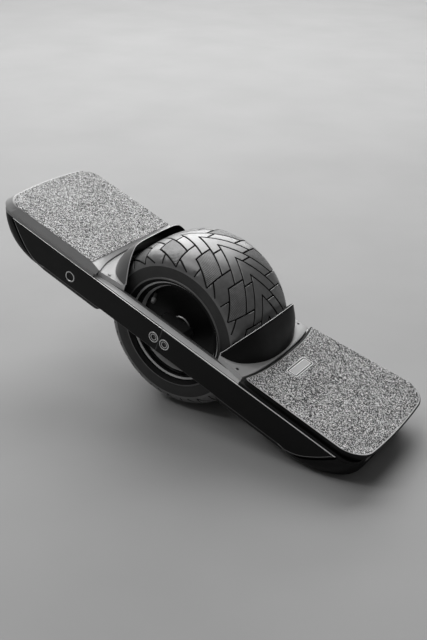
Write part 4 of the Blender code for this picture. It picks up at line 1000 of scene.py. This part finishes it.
def slice_off(item, spot, down):
    """Cuts off all that lies below a plane through a spot, and closes the cut."""
    work = bmesh.new()
    work.from_mesh(item.data)
    normal = TO_WORLD.to_3x3() @ Vector(down)
    bmesh.ops.bisect_plane(work, geom=work.verts[:] + work.edges[:] + work.faces[:],
                           plane_co=TO_WORLD @ Vector(spot), plane_no=normal, clear_outer=True)
    bmesh.ops.holes_fill(work, edges=[e for e in work.edges if e.is_boundary])
    bmesh.ops.recalc_face_normals(work, faces=work.faces)
    work.to_mesh(item.data)
    work.free()


def rail_end_room(sign, y_sign):
    """The space that a rail and its guard take out of a bumper."""
    start = BUMPER_INSIDE - GUARD_ROOM
    outline = [(sign * start, RAIL_TOP - END_SLOPE[-1][0] - GUARD_ROOM)]
    for x, z in end_slope(END_SLOPE[::-1]):
        outline.append((sign * (x + GUARD_ROOM), z - GUARD_ROOM))
    outline.append((sign * (RAIL_END + GUARD_ROOM), RAIL_TOP + 15.0))
    outline.append((sign * start, RAIL_TOP + 15.0))
    return prism(outline, *span(y_sign, RAIL_INSIDE - 0.6, GUARD_FACE + 15.0))


def make_bumpers():
    """Bumpers with corners that grow rounder down to a skid on the floor."""
    rise = RAIL_TOP - END_SLOPE[-1][0] - GUARD_ROOM + SKID_DEPTH
    height = RAIL_TOP + SKID_DEPTH
    half = GUARD_FACE - 0.9
    middle = (RAIL_TOP + BOX_BOTTOM) / 2
    levels = smooth_through([(0.0, half - 10.0, SKID_CORNER), (0.1, half - 4.5, 88.0),
                             (0.25, half - 1.0, 70.0), (0.5, half, 46.0), (0.8, half, 27.0),
                             (1.0, half, BUMPER_CORNER)], 4)
    # Room for the box, the hollow behind the face and the lamp's slot: reach along the board,
    # half width, and reach in height
    rooms = [
        (BOX_END_X - 60.0, BOX_END_X + SEAT_GAP, BOX_HALF_WIDTH + SEAT_GAP,
         BOX_BOTTOM - 40.0, RAIL_TOP + 20.0),
        (BOX_END_X - 5.0, BUMPER_END - BUMPER_WALL, 0.87 * BOX_HALF_WIDTH,
         middle - 12.0, middle + 22.0),
        (BUMPER_END - 20.0, BUMPER_END + 40.0, 56.0, middle + 3.0, middle + 13.0),
    ]
    for end, sign in FRONT_REAR:
        loops = []
        for share, width, corner in levels:
            outline = rounded_end(min(width, half), BUMPER_END, corner, REAR_BULGE,
                                  BUMPER_INSIDE)
            loops.append([(sign * x, y, share * height - SKID_DEPTH) for x, y in outline])
        bumper = stand_in(f"{end}_bumper", skin(loops), [BLACK], "black_plastic")
        heel = (sign * HEEL_X, 0, -SKID_DEPTH)
        slice_off(bumper, heel, (sign * math.sin(LEAN), 0, -math.cos(LEAN)))
        slice_off(bumper, heel, (-sign * rise, 0, BUMPER_INSIDE - HEEL_X))
        for y_sign in (-1, 1):
            cut(bumper, rail_end_room(sign, y_sign))
        for start, stop, width, low, high in rooms:
            cut(bumper, box_shape(span(sign, start, stop), (-width, width), (low, high)))


# Foot pads

def fender_edge_x(y):
    """Where a fender's outer edge lies, as it curves back towards the rails."""
    back = interpolate([(0, 0.0), (0.17, 0.0), (0.36, 0.03), (0.51, 0.08), (0.68, 0.17),
                        (0.83, 0.31), (0.934, 0.45), (1.0, 0.57), (1.18, 0.81)],
                       abs(y) / FENDER_HALF)
    return FENDER_EDGE - back * FENDER_REACH


def corner_fall(share, half, corner):
    """How far the rounded corner has drawn back, at a share of the half width."""
    past = abs(share) * half - (half - corner)
    if past <= 0:
        return 0.0
    return corner - math.sqrt(max(corner * corner - past * past, 0.0))


def pad_shares(half, corner):
    """Shares of the half width, close together round the corners."""
    start = 1 - corner / half
    bend = [start + (1 - start) * math.sin(math.radians(a)) for a in np.linspace(0, 90, 14)]
    side = list(np.linspace(0, start, 10)[:-1]) + bend
    return [-share for share in reversed(side[1:])] + side


def pad_rows(sign, stops, half_at, end, corner, bulge, wheel_x, height):
    """Grid rows from the wheel to the end of a pad, the last along its rounded end."""
    half = half_at(1.0)
    rows = []
    for stop in stops:
        row = []
        for share in pad_shares(half, corner):
            start = wheel_x(share)
            finish = end + bulge * (1 - share * share) - corner_fall(share, half, corner)
            x = start + (finish - start) * stop
            row.append((sign * x, share * half_at(stop), height(x, share)))
        rows.append(row)
    return rows


def border_kinds(rows, columns):
    """1 for a grid solid's walls and the border of its top, and 0 for its other faces."""
    found = []
    for i in range(rows - 1):
        for j in range(columns - 1):
            inner = 1 <= i < rows - 2 and 2 <= j < columns - 3
            found += [0 if inner else 1, 0]
    return found + [1] * (2 * (rows + columns) - 4)


def make_front_pad():
    """The flat front pad, with a sloping band round its grip and a rounded nose."""
    half = GUARD_FACE - FRONT_BORDER
    top = FRONT_GRIP_TOP - GRIP_THICKNESS - SEAT_GAP
    slope = 8.2

    def rows(stops, wheel_x, side, out, height):
        return pad_rows(-1, stops, lambda stop: half + side, FRONT_END + out, FRONT_CORNER,
                        FRONT_BULGE, wheel_x, lambda x, share: height)

    def seam(share):
        return fender_edge_x(share * (half + slope)) + 1.0

    def straight(share):
        return FENDER_EDGE + 5.0

    stops = np.linspace(0, 1, 9)
    upper = rows((0,), seam, 0, 0, FENDER_TOP + 2.5) + rows(stops, straight, 0, 0, top)
    lower = rows((0,), seam, slope, BAND_FLARE, PAD_BOTTOM)
    lower += rows(stops, straight, slope, BAND_FLARE, PAD_BOTTOM)
    for out, drop in ((1.2, 0.1), (2.6, 0.5), (4.0, 1.4)):
        upper += rows((1,), straight, 0.1 * out, out, top - drop)
        lower += rows((1,), straight, slope, BAND_FLARE + 0.1 * out, PAD_BOTTOM)
    count, across = len(upper), len(upper[0])
    # The band by the wheel is painted white as a highlight, the rest of the top lighter as light,
    # the nose's last three rows darker as shade, and the bottom and walls darker still as shade
    which = []
    for kind in [1] + [0] * (count - 5) + [3] * 3:
        which += [kind, 2] * (across - 1)
    which += [2] * (2 * (count + across) - 4)
    pad = piece("front_footpad_detailed", grid_solid(upper, lower), [TRIM, BAND, PAD_SIDE, NOSE],
                "grey_plastic", ["front_footpad", "foot_sensor"], which)
    soften(pad, 0.8, 2)
    grids = [rows(stops, straight, 0, 0, FRONT_GRIP_TOP - drop) for drop in (0, GRIP_THICKNESS)]
    grip = piece("front_grip_detailed", grid_solid(*grids), [FRONT_GRIP], "grip",
                 ["front_grip_tape"])
    soften(grip, 0.25, 1)


def rear_half(stop):
    """Half width of the rear pad, which widens towards its end and hangs over the guards."""
    return GUARD_FACE - REAR_BORDER + (REAR_FLARE + REAR_BORDER) * stop


def rear_top(x, share):
    """Height of the rear pad's walking surface: it rises to the end and is dished."""
    start = FENDER_EDGE - 7.0
    t = min((x - start) / (REAR_END - start), 1)
    rise = REAR_RISE_WHEEL + (REAR_RISE_END - REAR_RISE_WHEEL) * t
    return PAD_BOTTOM + rise - REAR_DISH * t * (1 - share * share)


def make_rear_pad():
    """The rear pad: a dished kick tail whose wheel end follows the fender's curve."""
    stops = [0.0, 0.004] + list(np.linspace(0, 1, 19)[1:-1]) + [0.992, 1.0]
    corner_start = 0.955

    def seam(share):
        past = max(abs(share) - corner_start, 0) / (1 - corner_start)
        corner = REAR_WHEEL_CORNER * (1 - math.sqrt(1 - min(past, 1.0) ** 2))
        return fender_edge_x(share * rear_half(0)) + PAD_GAP + corner

    def rows(drop, short=0.0):
        return pad_rows(1, stops, rear_half, REAR_END - short, REAR_CORNER, REAR_BULGE, seam,
                        lambda x, share: rear_top(x, share) - drop)

    foot = pad_rows(1, stops, lambda stop: GUARD_FACE - 5.0, BUMPER_END + 4.0, 30.0,
                    FRONT_BULGE, seam, lambda x, share: PAD_BOTTOM)
    pad = stand_in("rear_footpad", grid_solid(rows(GRIP_THICKNESS + SEAT_GAP), foot), [BLACK],
                   "black_plastic")
    soften(pad, 0.8, 2)
    top, bottom = [rows(drop, 2.2) for drop in (0, GRIP_THICKNESS)]
    # The grip's border and walls take a painted highlight along its edge
    grip = piece("rear_grip_detailed", grid_solid(top, bottom), [GRIP, GRIP_EDGE], "grip",
                 ["rear_grip_tape"], border_kinds(len(top), len(top[0])))
    soften(grip, 0.25, 1)


def make_badge():
    """A bare raised frame round a plain metal plate, where such boards carry a badge."""
    centre = (FENDER_EDGE + 37.8, -5.5)
    half_x, half_y = 11.2, 29.2
    pad_half = rear_half(0.15)

    def loop(inset, lift):
        radius = max(4.0 - 0.5 * inset, 1.0)
        found = []
        for quarter, (x_sign, y_sign) in enumerate(((1, 1), (-1, 1), (-1, -1), (1, -1))):
            for k in range(7):
                angle = math.radians(90 * quarter + 15 * k)
                x = centre[0] + x_sign * (half_x - inset - radius) + radius * math.cos(angle)
                y = centre[1] + y_sign * (half_y - inset - radius) + radius * math.sin(angle)
                found.append((x, y, rear_top(x, y / pad_half) + lift))
        return found

    rim = [(0, 0.35), (0, 0.75), (0.3, 0.95), (1.4, 0.95), (1.7, 0.75), (1.7, 0.35)]
    stand_in("badge_frame", skin([loop(*step) for step in rim], True), [BADGE_RIM],
             "grey_plastic")
    floor = [(1.7, 0.1), (1.7, 0.25), (3.6, 0.25)]
    piece("badge_floor", skin([loop(*step) for step in floor]), [LIP_BLACK], "grey_plastic")
    plate = [(3.7, 0.3), (3.7, 0.6), (3.9, 0.75), (5.1, 0.75), (5.3, 0.5), (6.2, 0.5)]
    which = each(marked(len(plate) - 1, (4,)), len(loop(0, 0)))
    piece("badge_plate", skin([loop(*step) for step in plate]), [BADGE_RIM, BADGE],
          "grey_plastic", (), which + [1, 1])


# Fenders

# From the rail to the middle, the lip's base as a share of the half width, and its distance
# out from the tyre's radius as a share of the lip's height; the same for its rim, with its
# height as a share
LIP_BASE = [(0.936, -0.73), (0.9, -0.46), (0.825, -0.225), (0.695, -0.03), (0.535, 0.13),
            (0.37, 0.24), (0.18, 0.295), (0.0, 0.305)]
LIP_RIM = [(0.925, -0.75, 0.11), (0.882, -0.67, 0.25), (0.821, -0.56, 0.475),
           (0.726, -0.435, 0.72), (0.585, -0.32, 0.93), (0.425, -0.285, 0.99),
           (0.208, -0.275, 1.0), (0.0, -0.27, 1.0)]
FLANGE_SHARES = (1.0, 0.934, 0.83, 0.68, 0.51, 0.36, 0.17, 0.0)
# The spans of a fender's section that aren't pale, by finish: 1 black, 2 deep grey, 3 bright. On
# the rear lip's outer face the black is a film; on the front lip's inner face it is painted shade,
# the deep grey on the front lip's outer face is painted shade, and the bright rim of the rear lip
# is a painted highlight
LIP_FINISHES = {
    "front": {1: (0, *range(24, 38)), 2: range(10, 22)},
    "rear": {1: (0, *range(10, 23), 24, 25), 3: (23,)},
}


def fender_section(row):
    """Cross-section of the fender: a flange on the rails, and a lip along the tyre."""
    ex, ey, bx, by, tx, ty, tz = row
    edge_out = Vector((ex - bx, ey - by)).normalized()
    inward = Vector((-bx, -0.35 * by)).normalized() * LIP_THICKNESS
    foot = FENDER_TOP + LIP_FILLET

    def within(x, y, z, share_x=1.0, share_y=1.0):
        return x + share_x * inward.x, y + share_y * inward.y, z

    bulge = 1 + 0.02 * (tz - foot) / LIP_HEIGHT
    face = [(bx, by, foot),
            (0.5 * bulge * (bx + tx), 0.5 * bulge * (by + ty), foot + 0.53 * (tz - foot)),
            (tx, ty, tz)]
    face = smooth_through(face, 6)
    section = [(ex, ey, FENDER_BOTTOM), (ex, ey, FENDER_BOTTOM + 1.6),
               (ex, ey, FENDER_TOP - 0.8), (ex - 0.25, 0.997 * ey, FENDER_TOP - 0.25),
               (ex - 0.8, 0.992 * ey, FENDER_TOP)]
    for share in (0.35, 0.7):
        section.append((ex + (bx - ex) * share, ey + (by - ey) * share, FENDER_TOP))
    for turn in (0, 30, 60, 85):
        t = math.radians(turn)
        reach = 0.9 * LIP_FILLET * (1 - math.sin(t))
        section.append((bx + edge_out.x * reach, by + edge_out.y * reach,
                        FENDER_TOP + LIP_FILLET * (1 - math.cos(t))))
    section += face[1:]
    section += [within(tx, ty, tz + 0.35, 0.25, 0.3), within(tx, ty, tz + 0.35, 0.6, 0.75),
                within(tx, ty, tz - 0.1, 0.85)]
    section += [within(*point) for point in reversed(face[:-1])]
    return section + [within(bx, by, FENDER_BOTTOM)]


def make_fenders():
    """The fenders with their screws; the rear one's edge is set back in the middle."""
    sides = 24
    screw = [(1.5, FENDER_BOTTOM + 1.0)]
    screw += beside(FENDER_TOP - 0.2, (1.5, -1.3), (2.6, -1.3), (2.6, -0.4), (2.2, 0.0),
                    (1.3, 0.0), (1.1, -0.8), (0.3, -0.9))
    half = []
    for share, (base_y, base_x), (rim_y, rim_x, rim_z) in zip(FLANGE_SHARES, LIP_BASE, LIP_RIM):
        edge_y = share * FENDER_HALF
        half.append((fender_edge_x(edge_y), edge_y,
                     TYRE_RADIUS + base_x * LIP_HEIGHT, base_y * FENDER_HALF,
                     TYRE_RADIUS + rim_x * LIP_HEIGHT, rim_y * FENDER_HALF,
                     FENDER_TOP + rim_z * LIP_HEIGHT))
    mirror = np.array([1, -1, 1, -1, 1, -1, 1])
    rows = half + [tuple(np.array(row) * mirror) for row in half[-2::-1]]
    rows = smooth_through(rows, 6)
    for end, sign in FRONT_REAR:
        loops = []
        for ex, ey, *rest in rows:
            back = REAR_SET_BACK * (1 - (ey / FENDER_HALF) ** 4) if end == "rear" else 0.0
            loops.append([(sign * x, y, z) for x, y, z in fender_section((ex - back, ey, *rest))])
        band = [next((kind for kind, own in LIP_FINISHES[end].items() if k in own), 0)
                for k in range(len(loops[0]))]
        fender = stand_in(f"{end}_fender", skin(loops), [PALE, LIP_BLACK, DEEP, BAND],
                          "grey_plastic", band * (len(loops) - 1), sharp=40)
        for side, y_sign in LEFT_RIGHT:
            spot = (sign * (FENDER_EDGE - 28.0), y_sign * 0.918 * FENDER_HALF)
            bore(fender, 3.0, sides, spot, (FENDER_BOTTOM + 0.6, FENDER_TOP + 2), "Z")
            shape = spindle(screw, (*spot, 0), (0, 0, 1), sides)
            stand_in(f"{side}_{end}_fender_screw", shape, [DARK_STEEL, BRIGHT], "steel",
                     each(marked(len(screw) - 1, (3,)), sides))


# The solids that keep their own shape; the last entry that a name holds is its finish

KEPT = {
    "axle_shaft": STEEL, "bearing": STEEL, "magnet_ring": STEEL, "motor_stator": IRON,
    "axle_block": DARK_STEEL, "_box": CAST, "_box_lid": BLACK, "battery_pack": WRAP,
    "_board": CIRCUIT, "_cable": RUBBER_PART, "_lamp": LENS, "foot_sensor": LENS,
    # The front pad's base takes the pad walls' grey, painted darker as shade
    "front_pad_base": PAD_SIDE,
}


def dress_solids():
    """Gives every solid a finish; the ones that are replaced take it too."""
    for name, item in frame["nodes"].items():
        finish = BLACK
        for word, choice in KEPT.items():
            if word in name:
                finish = choice
        for spare in item.material_slots:
            spare.material = finish.material
        if not item.material_slots:
            item.data.materials.append(finish.material)


# The studio

def make_floor():
    """A plain matt floor with faint patches."""
    made = Finish("floor_paint", 0.85)
    made.patchy(made.noise(300.0, 5.0), 0.375, 0.04)
    made.bump(made.noise(4.0, 3.0), 0.05)
    mesh = bpy.data.meshes.new("floor")
    reach = 12.0
    mesh.from_pydata([(-reach, -reach, 0), (reach, -reach, 0), (reach, reach, 0),
                      (-reach, reach, 0)], [], [(0, 1, 2, 3)])
    mesh.materials.append(made.material)
    put("floor", mesh)


def add_light(name, place, target, size, power):
    light = bpy.data.lights.new(name, "AREA")
    light.shape = "ELLIPSE"
    light.size, light.size_y = size
    light.energy = power
    item = put(name, light)
    item.location = place
    item.rotation_euler = (Vector(target) - Vector(place)).to_track_quat("-Z", "Y").to_euler()


def add_camera():
    camera = bpy.data.cameras.new("camera")
    camera.lens = 53.607
    camera.sensor_width = 36.0
    item = put("camera", camera)
    place = AXLE + Vector((0.8523, -1.2145, 0.7411))
    item.matrix_world = Matrix(((0.8256, -0.2608, 0.5004, place.x),
                                (0.5642, 0.3684, -0.7389, place.y),
                                (0.0084, 0.8923, 0.4513, place.z),
                                (0, 0, 0, 1)))
    bpy.context.scene.camera = item


def make_studio():
    scene = bpy.context.scene
    scene.view_settings.view_transform = "Standard"
    world = bpy.data.worlds.new("studio")
    world.use_nodes = True
    back = world.node_tree.nodes["Background"].inputs
    back["Color"].default_value = (1.0, 1.0, 1.0, 1.0)
    back["Strength"].default_value = 0.12
    scene.world = world
    add_light("key", (-1.9, 2.3, 3.4), (0, 0, 0.1), (6.5, 2.6), 170)
    add_light("back", (-4.0, 5.8, 2.6), (0, 0, 0.5), (8.5, 1.3), 275)
    add_light("top", (-0.9, -1.0, 4.2), (0, 0, 0), (3.0, 3.0), 46)
    add_light("glint", (-2.5, -2.1, 3.5), (0, 0, 0), (0.5, 0.5), 16)
    make_floor()
    add_camera()


make_studio()
dress_solids()
make_tyre()
make_rim()
make_hub_covers()
make_valve()
make_bolts()
make_rails()
make_guards()
make_button()
make_bumpers()
make_front_pad()
make_rear_pad()
make_badge()
make_fenders()
